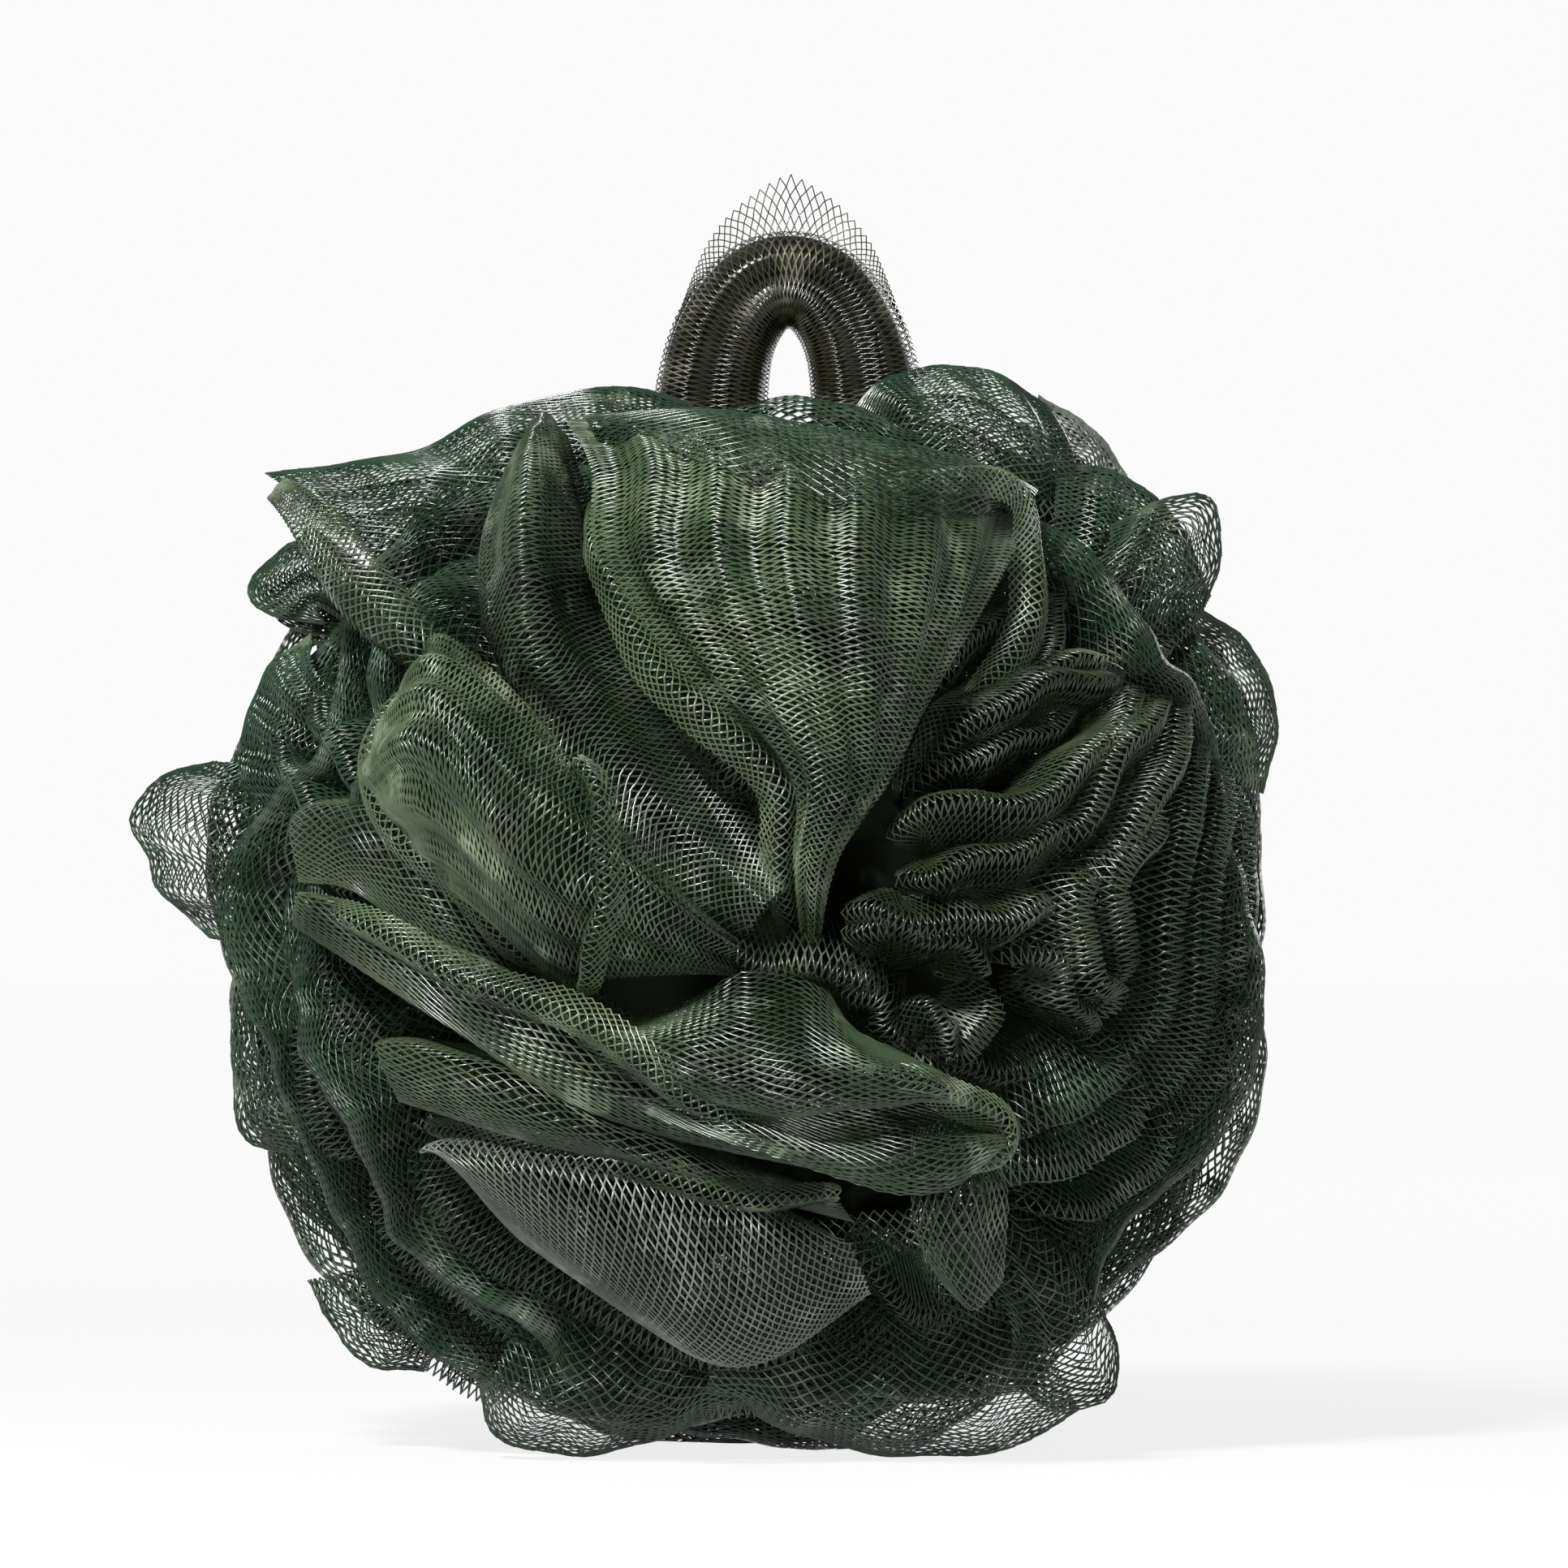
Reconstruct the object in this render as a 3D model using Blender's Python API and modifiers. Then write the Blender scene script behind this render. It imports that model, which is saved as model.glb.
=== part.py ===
"""A gathered net body sponge: a long tube of diamond netting bunched up and tied at its middle,
with a rolled net loop to hang it by. Metres, +Z up. The front of the sponge faces -Y."""

import math

import bmesh
import bpy
import numpy as np
from mathutils import Vector

# Netting. Every length of the head follows its radius
HEAD_RADIUS = 0.0635
HEAD_HEIGHT = 0.98 * HEAD_RADIUS
CORE_RADIUS = 0.693 * HEAD_RADIUS
NET_FOLD = 0.041 * HEAD_RADIUS
RUFFLES = 8
FIRST_RUFFLE = math.radians(63)
LAST_RUFFLE = math.radians(162)
CORE_START = 0.55
RUFFLE_ROOT = 0.082 * HEAD_RADIUS
RUFFLE_CREST = 0.041 * HEAD_RADIUS
RUFFLE_STEPS = 48
WAVES = 9
WAVE_SWING = 0.066 * HEAD_RADIUS
WAVE_REACH = 0.035 * HEAD_RADIUS
WAVE_LAG = 3.1
SECOND_WAVE = 0.45
PLEAT_DEPTH = 0.165 * HEAD_RADIUS
PLEAT_WIDTH = 0.038 * HEAD_RADIUS
PLEAT_TIP = 0.45
PLEAT_SIDES = 6

# Tie at the gather
GATHER = Vector((0.12, -0.72, -0.04))
BUD_RISE = 0.025 * HEAD_RADIUS
NECK_RADIUS = 0.06 * HEAD_RADIUS
PIT_RADIUS = 0.15 * HEAD_RADIUS
PIT_DEPTH = 0.213 * HEAD_RADIUS
CORD_DIAMETER = 0.038 * HEAD_RADIUS
CORD_GAP = 0.0003

# Hanging loop, in scale with the head
ROLL_WIDTH = 0.217 * HEAD_RADIUS
ROLL_DEPTH = 0.23 * HEAD_RADIUS
ROLL_GROOVE = 0.017 * HEAD_RADIUS
ROLL_TOP = 0.8
EYE_WIDTH = 0.085 * HEAD_RADIUS
LOOP_HEIGHT = 0.551 * HEAD_RADIUS
LOOP_RIGHT = 0.082 * HEAD_RADIUS
LOOP_SEAT = 0.331 * HEAD_RADIUS
LOOP_STATIONS = 26
LOOP_SIDES = 14
ARCH_SIDE = [(0.88, 0.0), (0.98, 0.25), (1.0, 0.52), (0.84, 0.78), (0.46, 0.95)]
FIN_HEIGHT = 0.093 * HEAD_RADIUS
FIN_START, FIN_PEAK, FIN_END = 0.36, 0.49, 0.6
FIN_STATIONS = 41
FIN_WALL = 0.019 * HEAD_RADIUS
SOCKET_GAP = 0.0003
CLEARING_DEPTH = 0.142 * HEAD_RADIUS
CLEARING_RISE = 0.213 * HEAD_RADIUS
CURVE_STEPS = 12
MERGE = 0.000003

# Petals: lofts through rows of points from the root, near the gather, to the free rim.
# A point is right, back and up from the head's centre, in head radii.
PETALS = {
    "fan_petal": [
        [(0.10, -0.63, -0.06), (0.14, -0.63, -0.06)],
        [(0.07, -0.74, 0.12), (0.12, -0.80, 0.13), (0.18, -0.71, 0.11)],
        [(0.05, -0.79, 0.27), (0.16, -0.88, 0.29), (0.30, -0.72, 0.29)],
        [(-0.13, -0.79, 0.46), (0.06, -0.91, 0.48), (0.24, -0.90, 0.48), (0.39, -0.69, 0.48)],
        [(-0.27, -0.71, 0.67), (-0.10, -0.83, 0.67), (0.09, -0.87, 0.67), (0.30, -0.80, 0.67),
         (0.48, -0.57, 0.67)],
        [(-0.28, -0.60, 0.84), (-0.10, -0.69, 0.85), (0.09, -0.72, 0.82), (0.30, -0.68, 0.79),
         (0.51, -0.47, 0.75)],
        [(-0.33, -0.44, 0.94), (-0.09, -0.49, 0.95), (0.18, -0.50, 0.91), (0.42, -0.46, 0.85),
         (0.53, -0.38, 0.80)],
    ],
    "tongue_petal": [
        [(0.06, -0.60, 0.19), (0.11, -0.57, 0.06)],
        [(-0.09, -0.72, 0.27), (0.02, -0.66, 0.36)],
        [(-0.30, -0.80, 0.37), (-0.10, -0.72, 0.46)],
        [(-0.49, -0.69, 0.57), (-0.38, -0.82, 0.52), (-0.22, -0.70, 0.57)],
        [(-0.49, -0.63, 0.67), (-0.39, -0.77, 0.67), (-0.29, -0.66, 0.69)],
        [(-0.47, -0.54, 0.81), (-0.39, -0.66, 0.82), (-0.31, -0.58, 0.79)],
        [(-0.42, -0.44, 0.92), (-0.38, -0.49, 0.95), (-0.35, -0.44, 0.91)],
    ],
    "band_petal": [
        [(-0.42, -0.50, 0.43), (-0.50, -0.54, 0.34)],
        [(-0.54, -0.65, 0.54), (-0.60, -0.65, 0.46)],
        [(-0.66, -0.57, 0.67), (-0.75, -0.57, 0.59)],
        [(-0.78, -0.38, 0.80), (-0.85, -0.38, 0.75)],
        [(-0.86, -0.24, 0.84), (-0.89, -0.24, 0.80)],
    ],
    "scoop_petal": [
        [(0.10, -0.59, -0.02), (0.06, -0.58, -0.07)],
        [(0.06, -0.72, 0.16), (-0.03, -0.82, 0.07), (-0.06, -0.70, -0.07)],
        [(-0.17, -0.77, 0.37), (-0.18, -0.91, 0.24), (-0.21, -0.90, 0.07), (-0.27, -0.74, -0.12)],
        [(-0.35, -0.74, 0.46), (-0.38, -0.94, 0.31), (-0.41, -0.94, 0.15), (-0.33, -0.76, -0.12)],
        [(-0.55, -0.66, 0.54), (-0.57, -0.90, 0.39), (-0.57, -0.91, 0.24), (-0.48, -0.81, 0.04)],
        [(-0.60, -0.58, 0.46), (-0.70, -0.69, 0.31), (-0.66, -0.74, 0.23), (-0.54, -0.74, 0.08)],
    ],
    "lip_petal": [
        [(-0.24, -0.54, -0.17), (-0.03, -0.52, -0.18), (0.10, -0.52, -0.22), (0.21, -0.55, -0.27),
         (0.38, -0.58, -0.33)],
        [(-0.31, -0.74, -0.12), (-0.03, -0.71, -0.07), (0.12, -0.74, -0.19), (0.35, -0.79, -0.23),
         (0.46, -0.72, -0.31)],
        [(-0.33, -0.83, -0.19), (-0.09, -0.91, -0.20), (0.12, -0.94, -0.28), (0.33, -0.91, -0.34),
         (0.48, -0.79, -0.36)],
        [(-0.42, -0.79, -0.12), (-0.18, -0.88, -0.28), (0.00, -0.91, -0.37), (0.21, -0.88, -0.44),
         (0.42, -0.74, -0.42)],
    ],
    "under_band": [
        [(-0.66, -0.42, 0.03), (-0.42, -0.50, -0.10), (-0.15, -0.56, -0.25), (0.12, -0.57, -0.37)],
        [(-0.81, -0.57, 0.08), (-0.48, -0.76, -0.07), (-0.18, -0.83, -0.27), (0.14, -0.83, -0.45)],
        [(-0.83, -0.54, 0.01), (-0.54, -0.76, -0.17), (-0.24, -0.83, -0.34), (0.35, -0.75, -0.50)],
    ],
    "low_fold": [
        [(-0.54, -0.50, -0.16), (-0.33, -0.56, -0.25), (-0.12, -0.57, -0.37)],
        [(-0.68, -0.66, -0.19), (-0.48, -0.80, -0.25), (-0.19, -0.83, -0.38), (0.12, -0.78, -0.50)],
        [(-0.63, -0.66, -0.31), (-0.42, -0.79, -0.37), (-0.10, -0.80, -0.45), (0.24, -0.70, -0.53)],
    ],
    "cut_panel": [
        [(-0.46, -0.48, -0.32), (-0.24, -0.50, -0.37), (0.05, -0.50, -0.44)],
        [(-0.60, -0.69, -0.37), (-0.36, -0.79, -0.41), (-0.10, -0.79, -0.48), (0.17, -0.74, -0.54)],
        [(-0.51, -0.72, -0.46), (-0.30, -0.80, -0.56), (-0.06, -0.79, -0.64), (0.21, -0.70, -0.61)],
        [(-0.41, -0.69, -0.56), (-0.21, -0.69, -0.70), (-0.06, -0.63, -0.79), (0.06, -0.61, -0.78),
         (0.23, -0.65, -0.66)],
    ],
    "dense_sheet": [
        [(-0.60, -0.33, 0.27), (-0.50, -0.42, 0.19), (-0.36, -0.50, 0.03)],
        [(-0.83, -0.48, 0.23), (-0.68, -0.66, 0.21), (-0.53, -0.72, 0.08), (-0.41, -0.68, -0.07)],
        [(-0.82, -0.52, 0.09), (-0.71, -0.63, 0.07), (-0.56, -0.69, -0.04), (-0.44, -0.69, -0.12)],
    ],
    "hood": [
        [(0.24, -0.15, 0.62), (0.36, -0.15, 0.58), (0.50, -0.15, 0.55)],
        [(0.21, -0.27, 0.89), (0.35, -0.31, 0.91), (0.48, -0.30, 0.89), (0.62, -0.20, 0.82)],
        [(0.17, -0.22, 0.94), (0.27, -0.20, 1.03), (0.41, -0.19, 1.05), (0.50, -0.19, 1.02),
         (0.57, -0.14, 0.97)],
    ],
    "right_sheet": [
        [(0.40, -0.10, 0.55), (0.54, -0.10, 0.42)],
        [(0.53, -0.09, 0.87), (0.65, -0.11, 0.75)],
        [(0.55, -0.06, 1.00), (0.65, -0.05, 0.94), (0.71, -0.05, 0.86), (0.75, -0.08, 0.76)],
    ],
    "right_ear": [
        [(0.50, -0.28, 0.42), (0.60, -0.28, 0.34)],
        [(0.66, -0.28, 0.69), (0.78, -0.25, 0.58)],
        [(0.68, -0.22, 0.75), (0.78, -0.19, 0.80), (0.86, -0.16, 0.81), (0.89, -0.16, 0.75),
         (0.88, -0.16, 0.65), (0.84, -0.19, 0.57)],
    ],
    "right_flap": [
        [(0.55, -0.16, 0.38), (0.60, -0.16, 0.20)],
        [(0.78, -0.14, 0.56), (0.86, -0.14, 0.28)],
        [(0.85, -0.11, 0.60), (0.93, -0.07, 0.54), (0.97, -0.05, 0.45), (0.98, -0.05, 0.36),
         (0.97, -0.08, 0.25)],
    ],
    "small_leaf": [
        [(0.30, -0.52, -0.33), (0.46, -0.46, -0.30)],
        [(0.29, -0.74, -0.47), (0.39, -0.79, -0.45), (0.49, -0.69, -0.46)],
        [(0.31, -0.72, -0.56), (0.39, -0.77, -0.57), (0.48, -0.69, -0.56)],
        [(0.37, -0.68, -0.65), (0.42, -0.69, -0.69), (0.47, -0.66, -0.64)],
    ],
    "corner_lobe": [
        [(0.32, -0.36, -0.46), (0.46, -0.30, -0.40)],
        [(0.48, -0.45, -0.70), (0.62, -0.36, -0.60)],
        [(0.48, -0.44, -0.82), (0.57, -0.38, -0.89), (0.68, -0.31, -0.87), (0.69, -0.28, -0.79),
         (0.65, -0.28, -0.66)],
    ],
    "bottom_lobe_left": [
        [(-0.38, -0.32, -0.50), (-0.22, -0.35, -0.53), (-0.07, -0.32, -0.54)],
        [(-0.45, -0.49, -0.79), (-0.27, -0.54, -0.83), (-0.09, -0.49, -0.83)],
        [(-0.49, -0.41, -0.84), (-0.47, -0.39, -0.93), (-0.36, -0.39, -0.98), (-0.24, -0.39, -0.99),
         (-0.08, -0.41, -0.90)],
    ],
    "bottom_lobe_right": [
        [(0.05, -0.32, -0.54), (0.25, -0.33, -0.53), (0.42, -0.30, -0.47)],
        [(0.03, -0.49, -0.83), (0.27, -0.54, -0.85), (0.56, -0.45, -0.77)],
        [(0.02, -0.41, -0.88), (0.15, -0.39, -0.95), (0.30, -0.38, -0.99), (0.50, -0.35, -0.97),
         (0.62, -0.31, -0.89)],
    ],
    "bottom_flap": [
        [(-0.44, -0.12, -0.42), (-0.34, -0.12, -0.54)],
        [(-0.70, -0.17, -0.62), (-0.56, -0.17, -0.77)],
        [(-0.82, -0.14, -0.66), (-0.78, -0.13, -0.74), (-0.71, -0.13, -0.82), (-0.60, -0.14, -0.83)],
    ],
    "left_lobe": [
        [(-0.62, -0.08, 0.24), (-0.62, -0.08, 0.06)],
        [(-0.93, -0.17, 0.23), (-0.89, -0.17, 0.04)],
        [(-1.11, -0.13, 0.23), (-1.14, -0.11, 0.18), (-1.10, -0.11, 0.09), (-1.00, -0.14, 0.03)],
    ],
    "left_sheet": [
        [(-0.52, -0.24, 0.39), (-0.56, -0.24, 0.22)],
        [(-0.78, -0.31, 0.46), (-0.80, -0.31, 0.21)],
        [(-0.81, -0.19, 0.55), (-0.89, -0.17, 0.49), (-0.93, -0.17, 0.40), (-0.96, -0.17, 0.28),
         (-0.93, -0.20, 0.19)],
    ],
    "ear_high": [
        [(-0.48, -0.10, 0.45), (-0.52, -0.10, 0.38)],
        [(-0.78, -0.13, 0.73), (-0.78, -0.09, 0.59)],
        [(-0.82, -0.09, 0.73), (-0.92, -0.06, 0.67), (-0.93, -0.06, 0.61), (-0.87, -0.06, 0.58),
         (-0.79, -0.08, 0.57)],
    ],
    "left_skirt": [
        [(-0.58, -0.16, -0.09), (-0.56, -0.16, -0.34)],
        [(-0.80, -0.28, -0.05), (-0.81, -0.25, -0.40)],
        [(-0.86, -0.24, -0.04), (-0.95, -0.20, -0.08), (-0.96, -0.19, -0.22), (-0.94, -0.19, -0.39),
         (-0.84, -0.22, -0.42)],
    ],
    "back_sheet": [
        [(-0.16, -0.16, 0.62), (-0.34, -0.18, 0.56), (-0.50, -0.20, 0.42)],
        [(-0.20, -0.25, 0.88), (-0.45, -0.31, 0.83), (-0.71, -0.28, 0.71)],
        [(-0.18, -0.19, 1.01), (-0.33, -0.20, 1.00), (-0.48, -0.20, 0.96), (-0.62, -0.19, 0.89),
         (-0.75, -0.16, 0.87), (-0.90, -0.11, 0.85)],
    ],
}

# Pleats: folds seen on edge. Each is the line of its ridge, in head radii as above.
PLEATS = {
    "fan_pleat_1": [(0.17, -0.66, 0.06), (0.35, -0.82, 0.15), (0.50, -0.82, 0.21), (0.63, -0.74, 0.27)],
    "fan_pleat_2": [(0.17, -0.66, 0.02), (0.42, -0.85, 0.08), (0.62, -0.82, 0.19), (0.74, -0.69, 0.31),
                    (0.83, -0.52, 0.43)],
    "fan_pleat_3": [(0.35, -0.76, 0.27), (0.53, -0.72, 0.46), (0.56, -0.63, 0.59), (0.68, -0.38, 0.75)],
    "fan_pleat_4": [(0.32, -0.79, 0.24), (0.55, -0.74, 0.40), (0.71, -0.61, 0.51), (0.85, -0.38, 0.59)],
    "fan_pleat_5": [(0.18, -0.66, -0.02), (0.39, -0.83, -0.01), (0.57, -0.85, 0.03), (0.71, -0.76, 0.12),
                    (0.78, -0.63, 0.28)],
    "near_curl": [(0.31, -0.66, -0.14), (0.39, -0.80, -0.23), (0.46, -0.83, -0.17), (0.48, -0.82, -0.09)],
    "far_curl": [(0.48, -0.82, -0.05), (0.60, -0.80, -0.12), (0.69, -0.71, -0.19), (0.56, -0.74, -0.26)],
    "side_pleat_1": [(0.79, -0.54, 0.42), (0.81, -0.60, 0.21), (0.77, -0.65, -0.02), (0.72, -0.61, -0.23),
                     (0.62, -0.57, -0.44)],
    "side_pleat_2": [(0.88, -0.31, 0.36), (0.91, -0.38, 0.13), (0.88, -0.39, -0.17), (0.77, -0.35, -0.44)],
    "low_right_1": [(0.48, -0.72, -0.26), (0.63, -0.66, -0.29), (0.72, -0.58, -0.23)],
    "low_right_2": [(0.21, -0.54, -0.79), (0.42, -0.56, -0.73), (0.65, -0.43, -0.64)],
    "low_right_3": [(0.48, -0.68, -0.47), (0.62, -0.60, -0.46), (0.75, -0.47, -0.37)],
    "low_left_1": [(-0.75, -0.54, -0.40), (-0.60, -0.60, -0.55), (-0.42, -0.63, -0.67),
                   (-0.24, -0.54, -0.77)],
    "low_left_2": [(-0.81, -0.31, -0.52), (-0.68, -0.38, -0.68), (-0.48, -0.35, -0.82)],
    "left_pleat": [(-0.87, -0.41, -0.19), (-0.78, -0.52, -0.25), (-0.75, -0.54, -0.40)],
}

HEAD_CENTRE = Vector((0, 0, HEAD_HEIGHT))


def at_head(point):
    """A point given in head radii from the head's centre, in metres."""
    return HEAD_CENTRE + HEAD_RADIUS * Vector(point)


def smooth_line(points, count):
    """Points spaced evenly along a smooth curve through the given ones."""
    points = np.array(points, float)
    if len(points) == 2:
        points = np.array([points[0], points.mean(axis=0), points[1]])
    ends = np.vstack([2 * points[0] - points[1], points, 2 * points[-1] - points[-2]])
    fine = []
    for before, start, end, after in zip(ends, ends[1:], ends[2:], ends[3:]):
        for t in np.linspace(0, 1, CURVE_STEPS, endpoint=False):
            slope = end - before
            bend = 2 * before - 5 * start + 4 * end - after
            turn = 3 * start - before - 3 * end + after
            fine.append(start + (slope + (bend + turn * t) * t) * t / 2)
    fine = np.array(fine + [points[-1]])
    along = np.concatenate([[0], np.cumsum(np.linalg.norm(np.diff(fine, axis=0), axis=1))])
    wanted = np.linspace(0, along[-1], count)
    return np.stack([np.interp(wanted, along, fine[:, axis]) for axis in range(3)], axis=1)


def loft_grid(rows, across, along):
    """A grid of points on the smooth surface through the rows."""
    lines = np.array([smooth_line(row, across) for row in rows])
    return np.stack([smooth_line(lines[:, i], along) for i in range(across)], axis=1)


def new_object(name, vertices, faces, collection):
    mesh = bpy.data.meshes.new(name)
    mesh.from_pydata([tuple(v) for v in vertices], [], faces)
    obj = bpy.data.objects.new(name, mesh)
    collection.objects.link(obj)
    return obj


def grid_faces(rows, columns, closed=False):
    """Quads of a grid; a closed grid joins its last column to its first."""
    faces = []
    for r in range(rows - 1):
        for c in range(columns if closed else columns - 1):
            d = (c + 1) % columns
            faces.append((r * columns + c, r * columns + d, (r + 1) * columns + d, (r + 1) * columns + c))
    return faces


def swept_tube(name, rings, collection):
    """A closed tube through rings of points, its two ends capped."""
    stations, sides = len(rings), len(rings[0])
    faces = grid_faces(stations, sides, closed=True)
    faces.append(tuple(reversed(range(sides))))
    faces.append(tuple(range((stations - 1) * sides, stations * sides)))
    obj = new_object(name, np.concatenate(rings), faces, collection)
    turn_faces_out(obj)
    return obj


def turn_faces_out(obj):
    shape = bmesh.new()
    shape.from_mesh(obj.data)
    bmesh.ops.recalc_face_normals(shape, faces=shape.faces)
    shape.to_mesh(obj.data)
    shape.free()


def keep_result(obj):
    """Makes what the object's modifiers give its own mesh."""
    graph = bpy.context.evaluated_depsgraph_get()
    mesh = bpy.data.meshes.new_from_object(obj.evaluated_get(graph))
    obj.modifiers.clear()
    obj.data = mesh


def add_boolean(obj, operation, helpers):
    """The folds cross each other many times, which only the manifold solver joins without open edges."""
    boolean = obj.modifiers.new(helpers.name, "BOOLEAN")
    boolean.operation = operation
    boolean.solver = "MANIFOLD"
    boolean.operand_type = "COLLECTION"
    boolean.collection = helpers


def fill_pockets(obj):
    """Merges what lies closer than MERGE and drops every shell but the outer one: no pocket stays sealed."""
    shape = bmesh.new()
    shape.from_mesh(obj.data)
    bmesh.ops.remove_doubles(shape, verts=shape.verts, dist=MERGE)
    bmesh.ops.dissolve_degenerate(shape, edges=shape.edges, dist=MERGE)
    bmesh.ops.triangulate(shape, faces=shape.faces)
    unseen = set(shape.faces)
    shells = []
    while unseen:
        shell = []
        front = [unseen.pop()]
        while front:
            face = front.pop()
            shell.append(face)
            for edge in face.edges:
                if len(edge.link_faces) == 2:
                    for other in edge.link_faces:
                        if other in unseen:
                            unseen.remove(other)
                            front.append(other)
        shells.append(shell)
    shells.sort(key=len)
    for shell in shells[:-1]:
        bmesh.ops.delete(shape, geom=shell, context="FACES")
    shape.to_mesh(obj.data)
    shape.free()


def material(name, colour, roughness):
    made = bpy.data.materials.new(name)
    made.use_nodes = True
    shader = made.node_tree.nodes["Principled BSDF"]
    shader.inputs["Base Color"].default_value = (*colour, 1)
    shader.inputs["Roughness"].default_value = roughness
    return made


def new_collection(name, helper=False):
    collection = bpy.data.collections.new(name)
    bpy.context.scene.collection.children.link(collection)
    collection.hide_render = helper
    return collection


# Netting, turned round the gather axis: bud, neck, pit for the tie, and one crest for each ruffle


def ruffle_profile():
    """(radius from the gather axis, height along it) from the bud to the back of the head."""
    bud = CORE_RADIUS + BUD_RISE
    floor = CORE_RADIUS - PIT_DEPTH
    points = [
        (0, bud),
        (NECK_RADIUS + BUD_RISE, bud - BUD_RISE),
        (NECK_RADIUS, bud - 2.5 * BUD_RISE),
        (NECK_RADIUS, floor),
        (PIT_RADIUS, floor),
        (PIT_RADIUS, math.sqrt(CORE_RADIUS**2 - PIT_RADIUS**2)),
    ]
    pitch = (LAST_RUFFLE - FIRST_RUFFLE) / (RUFFLES - 1)
    polar = [(CORE_RADIUS, CORE_START * FIRST_RUFFLE)]
    for i in range(RUFFLES):
        angle = FIRST_RUFFLE + i * pitch
        polar += [
            (CORE_RADIUS, angle - RUFFLE_ROOT / 2 / CORE_RADIUS),
            (HEAD_RADIUS, angle - RUFFLE_CREST / 2 / HEAD_RADIUS),
            (HEAD_RADIUS, angle + RUFFLE_CREST / 2 / HEAD_RADIUS),
            (CORE_RADIUS, angle + RUFFLE_ROOT / 2 / CORE_RADIUS),
        ]
    polar += [(CORE_RADIUS, math.pi)]
    points += [(r * math.sin(a), r * math.cos(a)) for r, a in polar]
    points[-1] = (0, -CORE_RADIUS)
    return points


def wave(vertices):
    """Swings each ruffle to and fro and in and out along its crest, and leaves the core alone."""
    x, y, z = vertices.T
    radius = np.linalg.norm(vertices, axis=1)
    turn = np.arctan2(y, x)
    polar = np.arccos(z / radius)
    free = np.clip((radius - CORE_RADIUS) / (HEAD_RADIUS - CORE_RADIUS), 0, 1)
    lag = WAVE_LAG * polar
    swing = WAVE_SWING * (np.sin(WAVES * turn + lag) + SECOND_WAVE * np.sin((WAVES + 4) * turn - 2 * lag))
    polar = polar + free * swing / radius
    radius = radius + free * WAVE_REACH * np.sin((WAVES - 2) * turn + 2.3 * lag)
    flat = radius * np.sin(polar)
    return np.stack([flat * np.cos(turn), flat * np.sin(turn), radius * np.cos(polar)], axis=1)


def ruffled_head(collection):
    profile = ruffle_profile()
    mesh = bpy.data.meshes.new("netting")
    mesh.from_pydata([(r, 0, h) for r, h in profile], [(i, i + 1) for i in range(len(profile) - 1)], [])
    head = bpy.data.objects.new("netting", mesh)
    collection.objects.link(head)
    screw = head.modifiers.new("turn", "SCREW")
    screw.steps = screw.render_steps = RUFFLE_STEPS
    screw.use_merge_vertices = True
    screw.merge_threshold = 0.00005
    keep_result(head)
    vertices = np.array([v.co for v in head.data.vertices])
    off_axis = np.hypot(vertices[:, 0], vertices[:, 1]) > NECK_RADIUS + 2 * BUD_RISE
    vertices[off_axis] = wave(vertices[off_axis])
    turned = Vector((0, 0, 1)).rotation_difference(GATHER)
    for vertex, place in zip(head.data.vertices, vertices):
        vertex.co = HEAD_CENTRE + turned @ Vector(place)
    turn_faces_out(head)
    return head


def add_petal(name, rows, collection):
    """A free fold of netting: a lofted sheet with the thickness of its two walls."""
    across = max(len(row) for row in rows) + 2
    along = len(rows) + 1
    rows = [[at_head(point) for point in row] for row in rows]
    grid = loft_grid(rows, across, along)
    petal = new_object(name, grid.reshape(-1, 3), grid_faces(along, across), collection)
    wall = petal.modifiers.new("two walls", "SOLIDIFY")
    wall.thickness = NET_FOLD
    wall.offset = 0
    keep_result(petal)
    turn_faces_out(petal)


def add_pleat(name, ridge, collection):
    """A fold seen on edge: a flattened tube under the line of its ridge, thinner at its ends."""
    stations = len(ridge) + 2
    line = smooth_line([at_head(point) for point in ridge], stations)
    rings = []
    for i, place in enumerate(line):
        ahead = Vector(line[min(i + 1, stations - 1)] - line[max(i - 1, 0)]).normalized()
        out = (Vector(place) - HEAD_CENTRE).normalized()
        side = ahead.cross(out).normalized()
        out = side.cross(ahead)
        taper = PLEAT_TIP + (1 - PLEAT_TIP) * math.sin(math.pi * i / (stations - 1))
        depth = PLEAT_DEPTH * (4 + taper) / 5
        middle = Vector(place) - out * depth
        turns = [math.tau * k / PLEAT_SIDES for k in range(PLEAT_SIDES)]
        across = side * PLEAT_WIDTH * taper
        rings.append([middle + out * depth * math.cos(t) + across * math.sin(t) for t in turns])
    swept_tube(name, rings, collection)


# Hanging loop: a roll of netting bent to an arch, with a thin free edge along its top


def arch_line(stations):
    """The roll's middle line, from the left foot over the top to the right foot."""
    half = (EYE_WIDTH + ROLL_WIDTH) / 2
    foot = HEAD_CENTRE + Vector((LOOP_RIGHT, 0, HEAD_RADIUS - LOOP_SEAT))
    shares = [(-w, h) for w, h in ARCH_SIDE] + [(0, 1)] + [(w, h) for w, h in reversed(ARCH_SIDE)]
    points = [foot + Vector((w * half, 0, h * LOOP_HEIGHT)) for w, h in shares]
    return smooth_line(points, stations)


def loop_frames(stations):
    """For each station of the roll: its place, the way out from the eye, and its share of the arch."""
    line = arch_line(stations)
    frames = []
    for i, place in enumerate(line):
        ahead = Vector(line[min(i + 1, stations - 1)] - line[max(i - 1, 0)]).normalized()
        out = ahead.cross(Vector((0, 1, 0))).normalized()
        frames.append((Vector(place), out, i / (stations - 1)))
    return frames


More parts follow.
